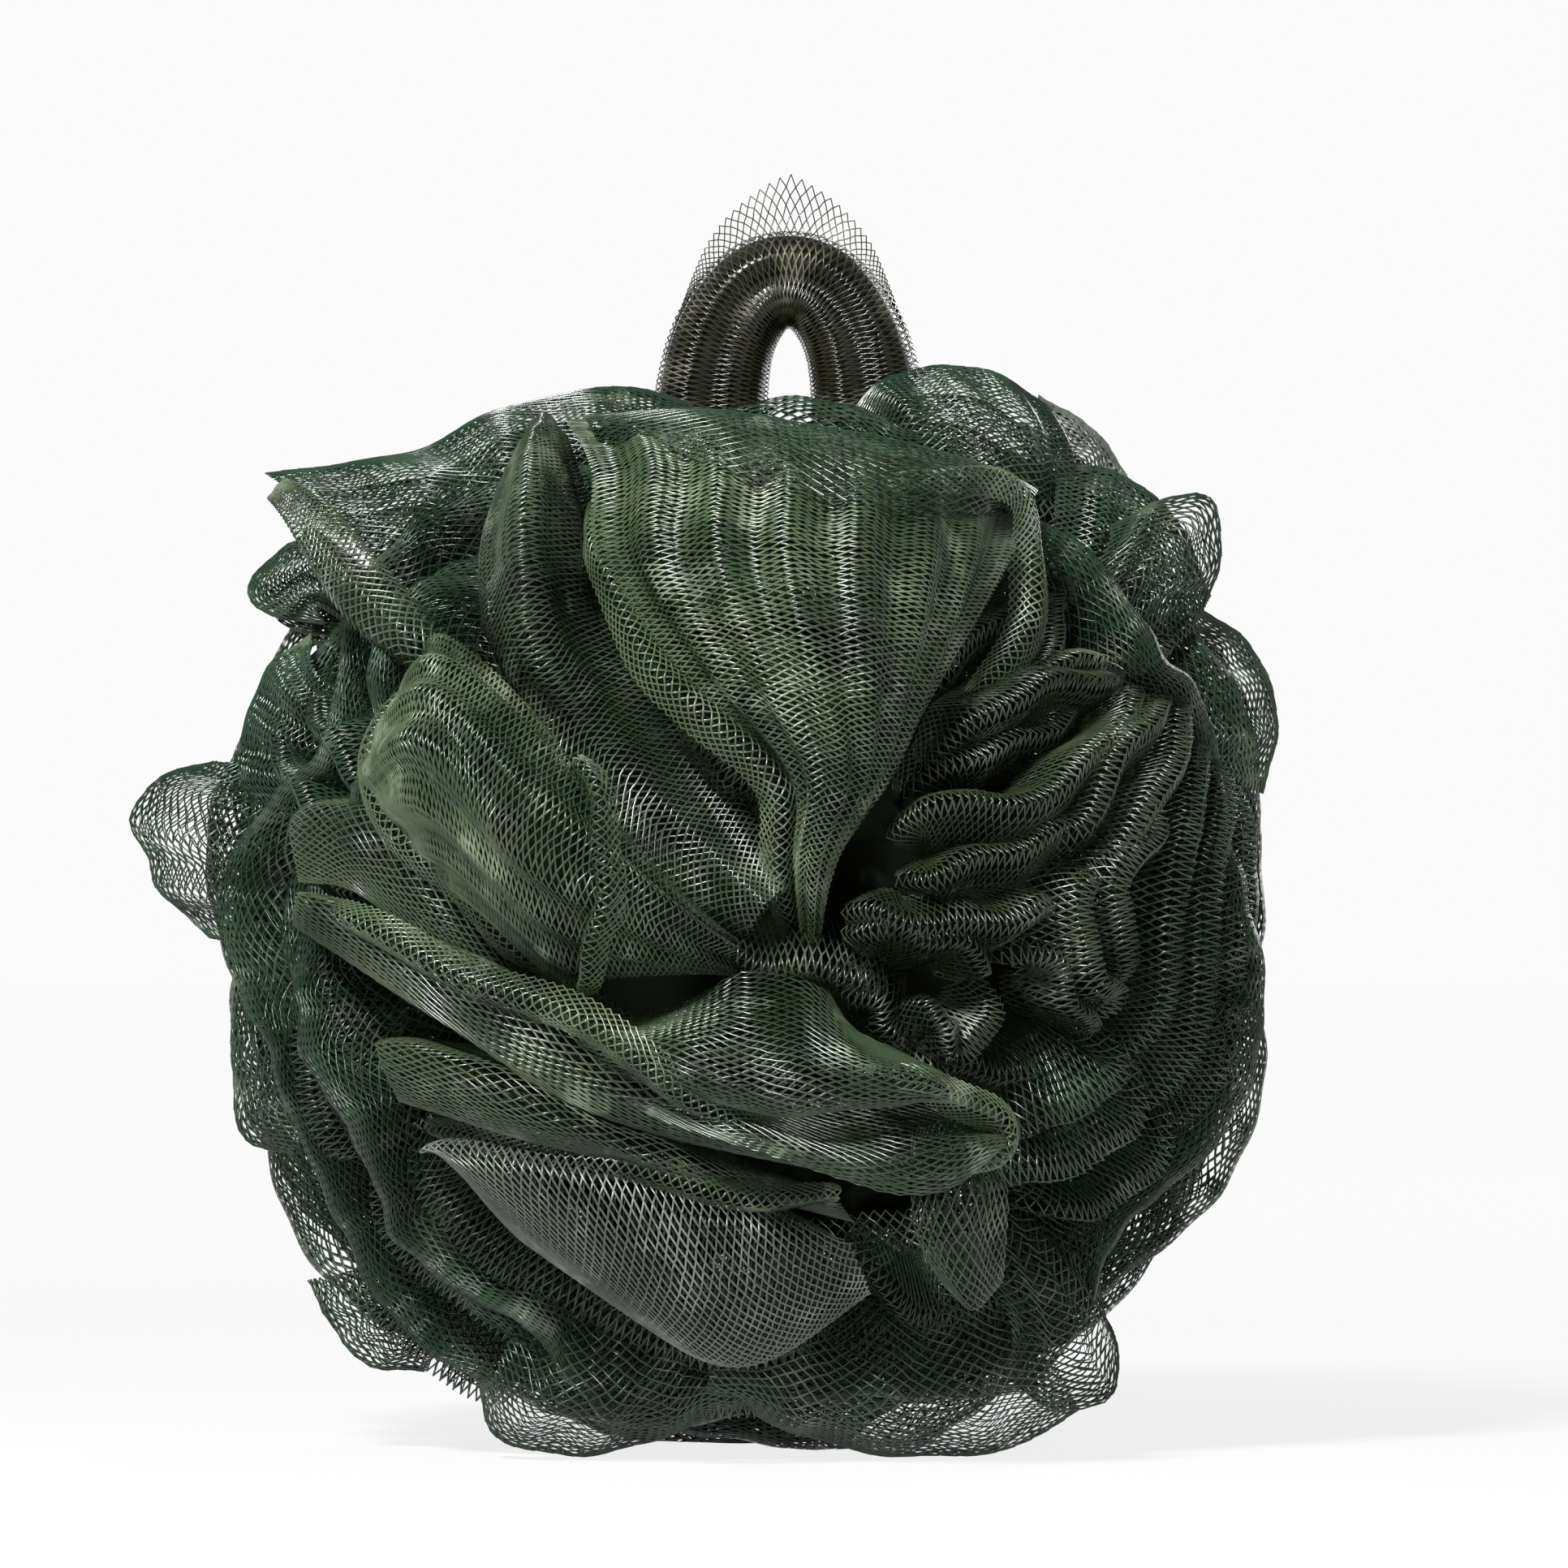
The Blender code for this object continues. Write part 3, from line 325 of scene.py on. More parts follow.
# Petals of the head.
# Free folds of the tube that stand over the front of the head, from the dark gather to their rims.
# Each is both walls of the flattened tube, so its far wall shows through the cells of the near one.
# Rows of points run across each petal, in head radii from the head's centre.
PETALS = {
    "fan_petal": [
        [(0.10, -0.63, -0.06), (0.14, -0.63, -0.06)],
        [(0.07, -0.74, 0.12), (0.12, -0.80, 0.13), (0.18, -0.71, 0.11)],
        [(0.05, -0.79, 0.27), (0.16, -0.88, 0.29), (0.30, -0.72, 0.29)],
        [(-0.13, -0.79, 0.46), (0.06, -0.91, 0.48), (0.24, -0.90, 0.48), (0.39, -0.69, 0.48)],
        [(-0.27, -0.71, 0.67), (-0.10, -0.83, 0.67), (0.09, -0.87, 0.67), (0.30, -0.80, 0.67),
         (0.48, -0.57, 0.67)],
        [(-0.28, -0.60, 0.84), (-0.10, -0.69, 0.85), (0.09, -0.72, 0.82), (0.30, -0.68, 0.79),
         (0.51, -0.47, 0.75)],
        [(-0.33, -0.44, 0.94), (-0.09, -0.49, 0.95), (0.18, -0.50, 0.91), (0.42, -0.46, 0.85),
         (0.53, -0.38, 0.80)],
    ],
    "fan_band": [
        [(-0.25, -0.60, 0.90), (-0.10, -0.70, 0.87), (0.01, -0.775, 0.82), (0.21, -0.80, 0.77),
         (0.39, -0.72, 0.765), (0.52, -0.52, 0.77)],
        [(-0.27, -0.56, 0.92), (-0.10, -0.64, 0.91), (0.03, -0.70, 0.88), (0.20, -0.725, 0.84),
         (0.41, -0.66, 0.815), (0.53, -0.49, 0.79)],
        [(-0.30, -0.50, 0.945), (-0.09, -0.56, 0.955), (0.18, -0.585, 0.915), (0.42, -0.545, 0.86),
         (0.54, -0.42, 0.81)],
    ],
    "tongue_petal": [
        [(0.00, -0.78, 0.00), (0.09, -0.75, 0.10)],
        [(-0.20, -0.75, 0.14), (-0.10, -0.685, 0.20), (0.04, -0.66, 0.29)],
        [(-0.33, -0.78, 0.30), (-0.24, -0.66, 0.37), (-0.16, -0.58, 0.42), (-0.07, -0.54, 0.46)],
        [(-0.47, -0.68, 0.50), (-0.38, -0.82, 0.51), (-0.29, -0.62, 0.54), (-0.22, -0.50, 0.56),
         (-0.15, -0.44, 0.57)],
        [(-0.49, -0.60, 0.67), (-0.40, -0.77, 0.67), (-0.31, -0.64, 0.68), (-0.24, -0.48, 0.69)],
        [(-0.46, -0.56, 0.79), (-0.39, -0.70, 0.82), (-0.33, -0.60, 0.81), (-0.29, -0.48, 0.80)],
        [(-0.41, -0.52, 0.90), (-0.37, -0.57, 0.95), (-0.33, -0.52, 0.91)],
    ],
    "band_petal": [
        [(-0.42, -0.50, 0.43), (-0.50, -0.54, 0.34)],
        [(-0.54, -0.65, 0.54), (-0.60, -0.65, 0.46)],
        [(-0.66, -0.57, 0.67), (-0.75, -0.57, 0.59)],
        [(-0.78, -0.38, 0.80), (-0.85, -0.38, 0.75)],
        [(-0.86, -0.24, 0.84), (-0.89, -0.24, 0.80)],
    ],
    "scoop_petal": [
        [(0.06, -0.59, -0.05), (0.03, -0.58, -0.10)],
        [(-0.06, -0.74, 0.06), (-0.09, -0.82, -0.01), (-0.11, -0.70, -0.10)],
        [(-0.24, -0.80, 0.24), (-0.24, -0.92, 0.15), (-0.25, -0.90, 0.03), (-0.28, -0.74, -0.12)],
        [(-0.37, -0.78, 0.40), (-0.38, -0.94, 0.29), (-0.41, -0.94, 0.15), (-0.33, -0.76, -0.12)],
        [(-0.55, -0.66, 0.54), (-0.57, -0.90, 0.39), (-0.57, -0.91, 0.24), (-0.48, -0.81, 0.04)],
        [(-0.60, -0.58, 0.46), (-0.70, -0.69, 0.31), (-0.66, -0.74, 0.23), (-0.54, -0.74, 0.08)],
    ],
    "lip_roof": [
        [(-0.33, -0.66, -0.15), (-0.10, -0.72, -0.12), (0.00, -0.76, -0.08), (0.10, -0.69, -0.07),
         (0.18, -0.74, -0.17), (0.27, -0.77, -0.21), (0.36, -0.79, -0.25), (0.43, -0.79, -0.30),
         (0.47, -0.77, -0.35)],
        [(-0.31, -0.82, -0.19), (-0.10, -0.90, -0.19), (0.02, -0.91, -0.17), (0.12, -0.91, -0.21),
         (0.21, -0.93, -0.23), (0.30, -0.93, -0.26), (0.38, -0.90, -0.28), (0.44, -0.85, -0.32),
         (0.47, -0.80, -0.35)],
        [(-0.28, -0.83, -0.23), (-0.09, -0.93, -0.25), (0.03, -0.96, -0.27), (0.14, -0.98, -0.28),
         (0.23, -0.97, -0.28), (0.31, -0.94, -0.29), (0.39, -0.91, -0.30), (0.44, -0.87, -0.32),
         (0.47, -0.82, -0.36)],
        [(-0.24, -0.80, -0.26), (-0.07, -0.90, -0.30), (0.06, -0.94, -0.33), (0.16, -0.96, -0.32),
         (0.27, -0.94, -0.31), (0.33, -0.93, -0.30), (0.39, -0.91, -0.31), (0.44, -0.87, -0.33),
         (0.47, -0.82, -0.36)],
    ],
    "lip_floor": [
        [(-0.27, -0.71, -0.25), (-0.09, -0.76, -0.29), (0.06, -0.79, -0.31), (0.20, -0.79, -0.31),
         (0.29, -0.77, -0.31), (0.38, -0.77, -0.31), (0.45, -0.79, -0.34), (0.47, -0.80, -0.36)],
        [(-0.22, -0.82, -0.29), (-0.07, -0.88, -0.33), (0.06, -0.91, -0.37), (0.20, -0.93, -0.40),
         (0.29, -0.93, -0.40), (0.38, -0.91, -0.39), (0.45, -0.87, -0.37), (0.48, -0.82, -0.37)],
        [(-0.26, -0.80, -0.29), (-0.12, -0.88, -0.35), (0.05, -0.94, -0.40), (0.20, -0.96, -0.45),
         (0.28, -0.96, -0.47), (0.37, -0.94, -0.46), (0.44, -0.90, -0.41), (0.48, -0.83, -0.37)],
    ],
    "under_band": [
        [(-0.66, -0.42, 0.03), (-0.42, -0.50, -0.10), (-0.15, -0.56, -0.25), (0.24, -0.60, -0.34)],
        [(-0.81, -0.57, 0.08), (-0.48, -0.76, -0.07), (-0.18, -0.83, -0.27), (0.27, -0.74, -0.40)],
        [(-0.83, -0.54, 0.01), (-0.54, -0.76, -0.17), (-0.24, -0.83, -0.34), (0.30, -0.70, -0.47)],
    ],
    "low_fold": [
        [(-0.54, -0.50, -0.16), (-0.33, -0.56, -0.25), (0.05, -0.57, -0.42)],
        [(-0.68, -0.66, -0.19), (-0.48, -0.80, -0.25), (-0.19, -0.83, -0.38), (0.14, -0.70, -0.46)],
        [(-0.63, -0.66, -0.31), (-0.42, -0.79, -0.37), (-0.10, -0.80, -0.45), (0.20, -0.66, -0.53)],
    ],
    "cut_panel": [
        [(-0.46, -0.48, -0.32), (-0.24, -0.50, -0.37), (0.05, -0.50, -0.44)],
        [(-0.60, -0.69, -0.37), (-0.36, -0.79, -0.41), (-0.10, -0.79, -0.48), (0.17, -0.74, -0.54)],
        [(-0.51, -0.72, -0.46), (-0.30, -0.80, -0.56), (-0.06, -0.79, -0.64), (0.21, -0.70, -0.61)],
        [(-0.41, -0.69, -0.56), (-0.21, -0.69, -0.70), (-0.06, -0.63, -0.79), (0.06, -0.61, -0.78),
         (0.23, -0.65, -0.66)],
    ],
    "dense_sheet": [
        [(-0.60, -0.33, 0.27), (-0.50, -0.42, 0.19), (-0.36, -0.50, 0.03)],
        [(-0.83, -0.48, 0.23), (-0.68, -0.66, 0.21), (-0.53, -0.72, 0.08), (-0.41, -0.68, -0.07)],
        [(-0.82, -0.52, 0.09), (-0.71, -0.63, 0.07), (-0.56, -0.69, -0.04), (-0.44, -0.69, -0.12)],
    ],
    "hood": [
        [(0.24, -0.15, 0.62), (0.36, -0.15, 0.58), (0.50, -0.15, 0.55)],
        [(0.21, -0.27, 0.89), (0.35, -0.31, 0.91), (0.48, -0.30, 0.89), (0.62, -0.20, 0.82)],
        [(0.17, -0.22, 0.94), (0.27, -0.20, 1.03), (0.41, -0.19, 1.05), (0.50, -0.19, 1.02),
         (0.57, -0.14, 0.97)],
    ],
    "right_sheet": [
        [(0.40, -0.10, 0.55), (0.54, -0.10, 0.42)],
        [(0.53, -0.09, 0.87), (0.65, -0.11, 0.75)],
        [(0.55, -0.06, 1.00), (0.65, -0.05, 0.94), (0.71, -0.05, 0.86), (0.75, -0.08, 0.76)],
    ],
    "right_ear": [
        [(0.50, -0.28, 0.42), (0.60, -0.28, 0.34)],
        [(0.66, -0.28, 0.69), (0.78, -0.25, 0.58)],
        [(0.68, -0.22, 0.75), (0.78, -0.19, 0.80), (0.86, -0.16, 0.81), (0.89, -0.16, 0.75),
         (0.88, -0.16, 0.65), (0.84, -0.19, 0.57)],
    ],
    "bridge_sheet": [
        [(0.45, -0.30, 0.45), (0.55, -0.25, 0.35)],
        [(0.56, -0.27, 0.70), (0.70, -0.22, 0.66), (0.80, -0.20, 0.52)],
        [(0.58, -0.20, 0.87), (0.70, -0.17, 0.85), (0.81, -0.15, 0.76), (0.87, -0.14, 0.62)],
    ],
    "right_flap": [
        [(0.55, -0.16, 0.38), (0.60, -0.16, 0.20)],
        [(0.78, -0.14, 0.56), (0.86, -0.14, 0.28)],
        [(0.85, -0.11, 0.60), (0.94, -0.07, 0.54), (0.99, -0.05, 0.45), (1.0, -0.05, 0.36),
         (0.97, -0.08, 0.25)],
    ],
    "small_leaf": [
        [(0.30, -0.52, -0.33), (0.46, -0.46, -0.30)],
        [(0.29, -0.74, -0.47), (0.39, -0.79, -0.45), (0.49, -0.69, -0.46)],
        [(0.31, -0.72, -0.56), (0.39, -0.77, -0.57), (0.48, -0.69, -0.56)],
        [(0.37, -0.68, -0.65), (0.42, -0.69, -0.69), (0.47, -0.66, -0.64)],
    ],
    "corner_lobe": [
        [(0.32, -0.36, -0.46), (0.46, -0.30, -0.40)],
        [(0.48, -0.45, -0.70), (0.62, -0.36, -0.60)],
        [(0.48, -0.44, -0.82), (0.57, -0.38, -0.89), (0.68, -0.31, -0.87), (0.69, -0.28, -0.79),
         (0.65, -0.28, -0.66)],
    ],
    "bottom_lobe_left": [
        [(-0.38, -0.32, -0.50), (-0.22, -0.35, -0.53), (-0.07, -0.32, -0.54)],
        [(-0.45, -0.49, -0.79), (-0.27, -0.54, -0.83), (-0.02, -0.49, -0.81)],
        [(-0.49, -0.41, -0.84), (-0.47, -0.39, -0.93), (-0.36, -0.39, -0.97), (-0.22, -0.39, -0.96),
         (0.0, -0.43, -0.88)],
    ],
    "bottom_lobe_right": [
        [(-0.02, -0.32, -0.54), (0.25, -0.33, -0.53), (0.42, -0.30, -0.47)],
        [(-0.06, -0.52, -0.80), (0.27, -0.54, -0.85), (0.56, -0.45, -0.77)],
        [(-0.08, -0.45, -0.85), (0.12, -0.39, -0.94), (0.30, -0.38, -0.975), (0.50, -0.35, -0.96),
         (0.62, -0.31, -0.89)],
    ],
    "bottom_flap": [
        [(-0.44, -0.12, -0.42), (-0.34, -0.12, -0.54)],
        [(-0.70, -0.17, -0.62), (-0.56, -0.17, -0.77)],
        [(-0.82, -0.14, -0.66), (-0.78, -0.13, -0.74), (-0.71, -0.13, -0.82), (-0.60, -0.14, -0.83)],
    ],
    "left_lobe": [
        [(-0.62, -0.10, 0.32), (-0.62, -0.10, -0.03)],
        [(-0.93, -0.19, 0.31), (-0.92, -0.24, 0.14), (-0.89, -0.19, -0.03)],
        [(-1.00, -0.18, 0.31), (-1.09, -0.14, 0.285), (-1.155, -0.11, 0.21), (-1.12, -0.14, 0.13),
         (-1.10, -0.12, 0.07), (-1.00, -0.15, -0.02)],
    ],
    "left_sheet": [
        [(-0.52, -0.24, 0.39), (-0.56, -0.24, 0.22)],
        [(-0.78, -0.31, 0.46), (-0.80, -0.31, 0.21)],
        [(-0.81, -0.19, 0.55), (-0.89, -0.17, 0.49), (-0.93, -0.17, 0.40), (-0.96, -0.17, 0.28),
         (-0.93, -0.20, 0.19)],
    ],
    "ear_high": [
        [(-0.48, -0.10, 0.45), (-0.52, -0.10, 0.38)],
        [(-0.78, -0.13, 0.73), (-0.78, -0.09, 0.59)],
        [(-0.82, -0.09, 0.73), (-0.92, -0.06, 0.67), (-0.93, -0.06, 0.61), (-0.87, -0.06, 0.58),
         (-0.79, -0.08, 0.57)],
    ],
    "left_skirt": [
        [(-0.58, -0.16, -0.09), (-0.56, -0.16, -0.34)],
        [(-0.80, -0.28, -0.05), (-0.81, -0.25, -0.40)],
        [(-0.86, -0.24, -0.04), (-0.95, -0.20, -0.08), (-0.96, -0.19, -0.22), (-0.94, -0.19, -0.39),
         (-0.84, -0.22, -0.42)],
    ],
    "back_sheet": [
        [(-0.08, -0.16, 0.62), (-0.34, -0.18, 0.56), (-0.50, -0.20, 0.42)],
        [(-0.10, -0.22, 0.88), (-0.45, -0.31, 0.83), (-0.71, -0.28, 0.71)],
        [(-0.10, -0.14, 0.98), (-0.20, -0.18, 1.01), (-0.33, -0.20, 1.00), (-0.48, -0.20, 0.96),
         (-0.62, -0.19, 0.89), (-0.75, -0.16, 0.87), (-0.90, -0.11, 0.85)],
    ],
}
# Cell across and along in millimetres, and the number and depth in millimetres of the soft flutes
WEAVE = {
    "fan_petal": (2.5, 0.7, 7, 1.1),
    "fan_band": (2.6, 0.9, 3, 0.3),
    "tongue_petal": (2.1, 0.72, 3, 0.6),
    "band_petal": (1.7, 1.1, 2, 0.3),
    "scoop_petal": (2.1, 0.72, 6, 1.0),
    "lip_roof": (2.3, 0.72, 4, 0.5),
    "lip_floor": (2.3, 0.75, 3, 0.3),
    "under_band": (2.4, 0.8, 3, 0.4),
    "low_fold": (2.4, 0.85, 3, 0.5),
    "cut_panel": (1.1, 2.1, 2, 0.3),
    "dense_sheet": (1.8, 0.95, 2, 0.4),
    "small_leaf": (1.4, 2.4, 2, 0.3),
}
OPEN_WEAVE = (1.8, 0.85, 4, 0.9)
THIN_WEAVE = (2.2, 1.25, 4, 1.0)
# How the cells close towards the rim, and how deep the root's edges sink into the gather
RIM_DRAW = 1.4
ROOT_SINK = 0.007
PETAL_STEPS = 61
LOFT_STEPS = 241
INNER_LAYERS = (0.95, 0.9)
THIN_PETALS = (
    "bottom_lobe_left", "bottom_lobe_right", "corner_lobe", "bottom_flap", "left_lobe", "right_ear",
    "left_skirt",
)
GREY_PETALS = ("right_sheet", "cut_panel")
UPPER_PETALS = ("fan_petal", "scoop_petal")


def two_walls(rows, flutes, depth):
    """The near and far wall of a flattened tube that follows the rows, joined at its edges and rim."""
    drawn = 1 - (1 - np.linspace(0, 1, PETAL_STEPS)) ** RIM_DRAW
    grid = loft(rows, PETAL_STEPS, LOFT_STEPS)[np.round((LOFT_STEPS - 1) * drawn).astype(int)]
    normal = facing(grid)
    v, u = np.meshgrid(drawn, np.linspace(0, 1, PETAL_STEPS), indexing="ij")
    swell = depth * 0.001 * np.sin(math.tau * flutes * u + 2.2 * v) * (0.35 + 0.65 * v) * (1 - 0.8 * v**6)
    sink = ROOT_SINK * (1 - v) ** 1.5 * (1 - np.sqrt(np.clip(1 - (2 * u - 1) ** 2, 0, 1)))
    grid = grid + normal * (swell - sink)[..., None]
    half = FOLD / 2 * np.sqrt(np.clip(1 - (2 * u - 1) ** 4, 0, 1) * np.clip(1 - v**6, 0, 1))[..., None]
    near = grid + normal * half
    far = grid - normal * half
    return near, far, normal


upper_rods, lower_rods, grey_rods, edge_rods, far_sheets = [], [], [], [], []
for petal_name, petal_rows in PETALS.items():
    loose = THIN_WEAVE if petal_name in THIN_PETALS else OPEN_WEAVE
    wide, tall, flutes, depth = WEAVE.get(petal_name, loose)
    cell = (wide / 1000, tall / 1000)
    near, far, normal = two_walls(petal_rows, flutes, depth)
    # Grey petals take the grey strand; fan and scoop the plain green; other woven petals the low copy; fan
    # band and unwoven petals the edge copy. The low and edge copies are painted shade
    if petal_name in GREY_PETALS:
        rods = grey_rods
    elif petal_name in WEAVE and petal_name != "fan_band":
        rods = upper_rods if petal_name in UPPER_PETALS else lower_rods
    else:
        rods = edge_rods
    rods.append(strand_net(near, normal, cell))
    far_sheets.append(sheet_net(far[::2, ::2], cell))
    if petal_name not in WEAVE and petal_name not in THIN_PETALS:
        for shrink in INNER_LAYERS:
            inner = HEAD_CENTRE + (far - HEAD_CENTRE) * shrink
            far_sheets.append(sheet_net(inner[::2, ::2], (cell[0] * shrink, cell[1])))

upper_strands = make_piece("upper_petal_strands", upper_rods, GREEN_STRAND)
lower_strands = make_piece("lower_petal_strands", lower_rods, LOW_SHADED_STRAND)
petal_far_walls = make_piece("petal_far_walls", far_sheets, FAR_SHADED_SHEET, sheet=True)
grey_strands = make_piece("grey_strands", grey_rods, GREY_STRAND)
edge_strands = make_piece("edge_strands", edge_rods, EDGE_SHADED_STRAND)
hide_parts("netting")

# Ruffles round the head.
# The rest of the tube, bunched into double ruffles that run right round the gather. Their length is
# far more than the room that they have, so they swing to and fro.
RUFFLES = 8
FIRST_RUFFLE = math.radians(63)
LAST_RUFFLE = math.radians(162)
RUFFLE_ROOT = 0.0052
RUFFLE_CREST = 0.0026
WAVES = 9
WAVE_SWING = 0.0042
WAVE_REACH = 0.0022
WAVE_LAG = 3.1
SECOND_WAVE = 0.45
# Waves round the gather, lag and size of the finer gathers
FINE_SWINGS = ((31, 5, 0.0006), (57, -3, 0.0003))
FINE_REACH = (43, 4, 0.0002)
# Height of the lower ruffles between the others, as a share of theirs
LOW_RUFFLE = 0.82
RUFFLE_CELL = (0.0022, 0.0012)
# Share of their rise that the ruffles lose under the loop
PRESSED = 0.92
to_gather = np.array(Vector((0, 0, 1)).rotation_difference(GATHER).to_matrix())


def wave(points):
    """Swings each ruffle to and fro and in and out along its crest, as in the solid, with finer gathers."""
    x, y, z = np.moveaxis(points, -1, 0)
    radius = np.linalg.norm(points, axis=-1)
    turn = np.arctan2(y, x)
    polar = np.arccos(z / radius)
    free = np.clip((radius - CORE_RADIUS) / (HEAD_RADIUS - CORE_RADIUS), 0, 1)
    lag = WAVE_LAG * polar
    swing = WAVE_SWING * (np.sin(WAVES * turn + lag) + SECOND_WAVE * np.sin((WAVES + 4) * turn - 2 * lag))
    for number, shift, reach in FINE_SWINGS:
        swing = swing + reach * np.sin(number * turn + shift * lag)
    polar = polar + free * swing / radius
    radius = radius + free * WAVE_REACH * np.sin((WAVES - 2) * turn + 2.3 * lag)
    number, shift, reach = FINE_REACH
    radius = radius + free * reach * np.sin(number * turn + shift * lag)
    flat = radius * np.sin(polar)
    return np.stack([flat * np.cos(turn), flat * np.sin(turn), radius * np.cos(polar)], axis=-1)


def ruffle_grid(angle, height=1.0):
    """One ruffle: up its front wall, over its crest and down its back wall, all round the gather axis."""
    s = np.linspace(-1, 1, 13)
    rise = 1 - np.abs(s) ** 2.2
    half = (RUFFLE_ROOT * (1 - rise) + RUFFLE_CREST * rise) / 2 * np.sign(s) * np.minimum(1, np.abs(s) * 5)
    radius = CORE_RADIUS + (HEAD_RADIUS - CORE_RADIUS) * rise * height
    polar = angle + half / radius
    turn = np.linspace(0, math.tau, 289)
    flat = (radius * np.sin(polar))[:, None]
    up = (radius * np.cos(polar))[:, None] + 0 * turn
    points = np.stack([flat * np.cos(turn), flat * np.sin(turn), up], axis=-1)
    return HEAD_CENTRE + wave(points) @ to_gather.T


def under_loop(points):
    """Presses down what lies under the free part of the hanging loop."""
    loop_low, loop_high = (np.array(corner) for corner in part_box("hanging_loop"))
    middle = (loop_low + loop_high) / 2
    reach = (loop_high - loop_low) / 2 + 0.001
    inside = np.clip(1.6 - np.abs((points - middle) / reach)[..., :2].max(axis=-1), 0, 0.6) / 0.6
    floor = HEAD_CENTRE[2] + CORE_RADIUS + 0.001
    over = np.maximum(points[..., 2] - floor, 0)
    points[..., 2] -= over * PRESSED * inside
    return points


ruffle_walls = []
for count in range(2 * RUFFLES - 1):
    height = LOW_RUFFLE if count % 2 else 1.0
    angle = FIRST_RUFFLE + count * (LAST_RUFFLE - FIRST_RUFFLE) / (2 * RUFFLES - 2)
    grid = under_loop(ruffle_grid(angle, height))
    grid[..., 2] = np.maximum(grid[..., 2], SHEET_REST)
    ruffle_walls.append(sheet_net(grid, RUFFLE_CELL))
ruffles = make_piece("ruffles", ruffle_walls, RUFFLE_SHADED_SHEET, sheet=True)

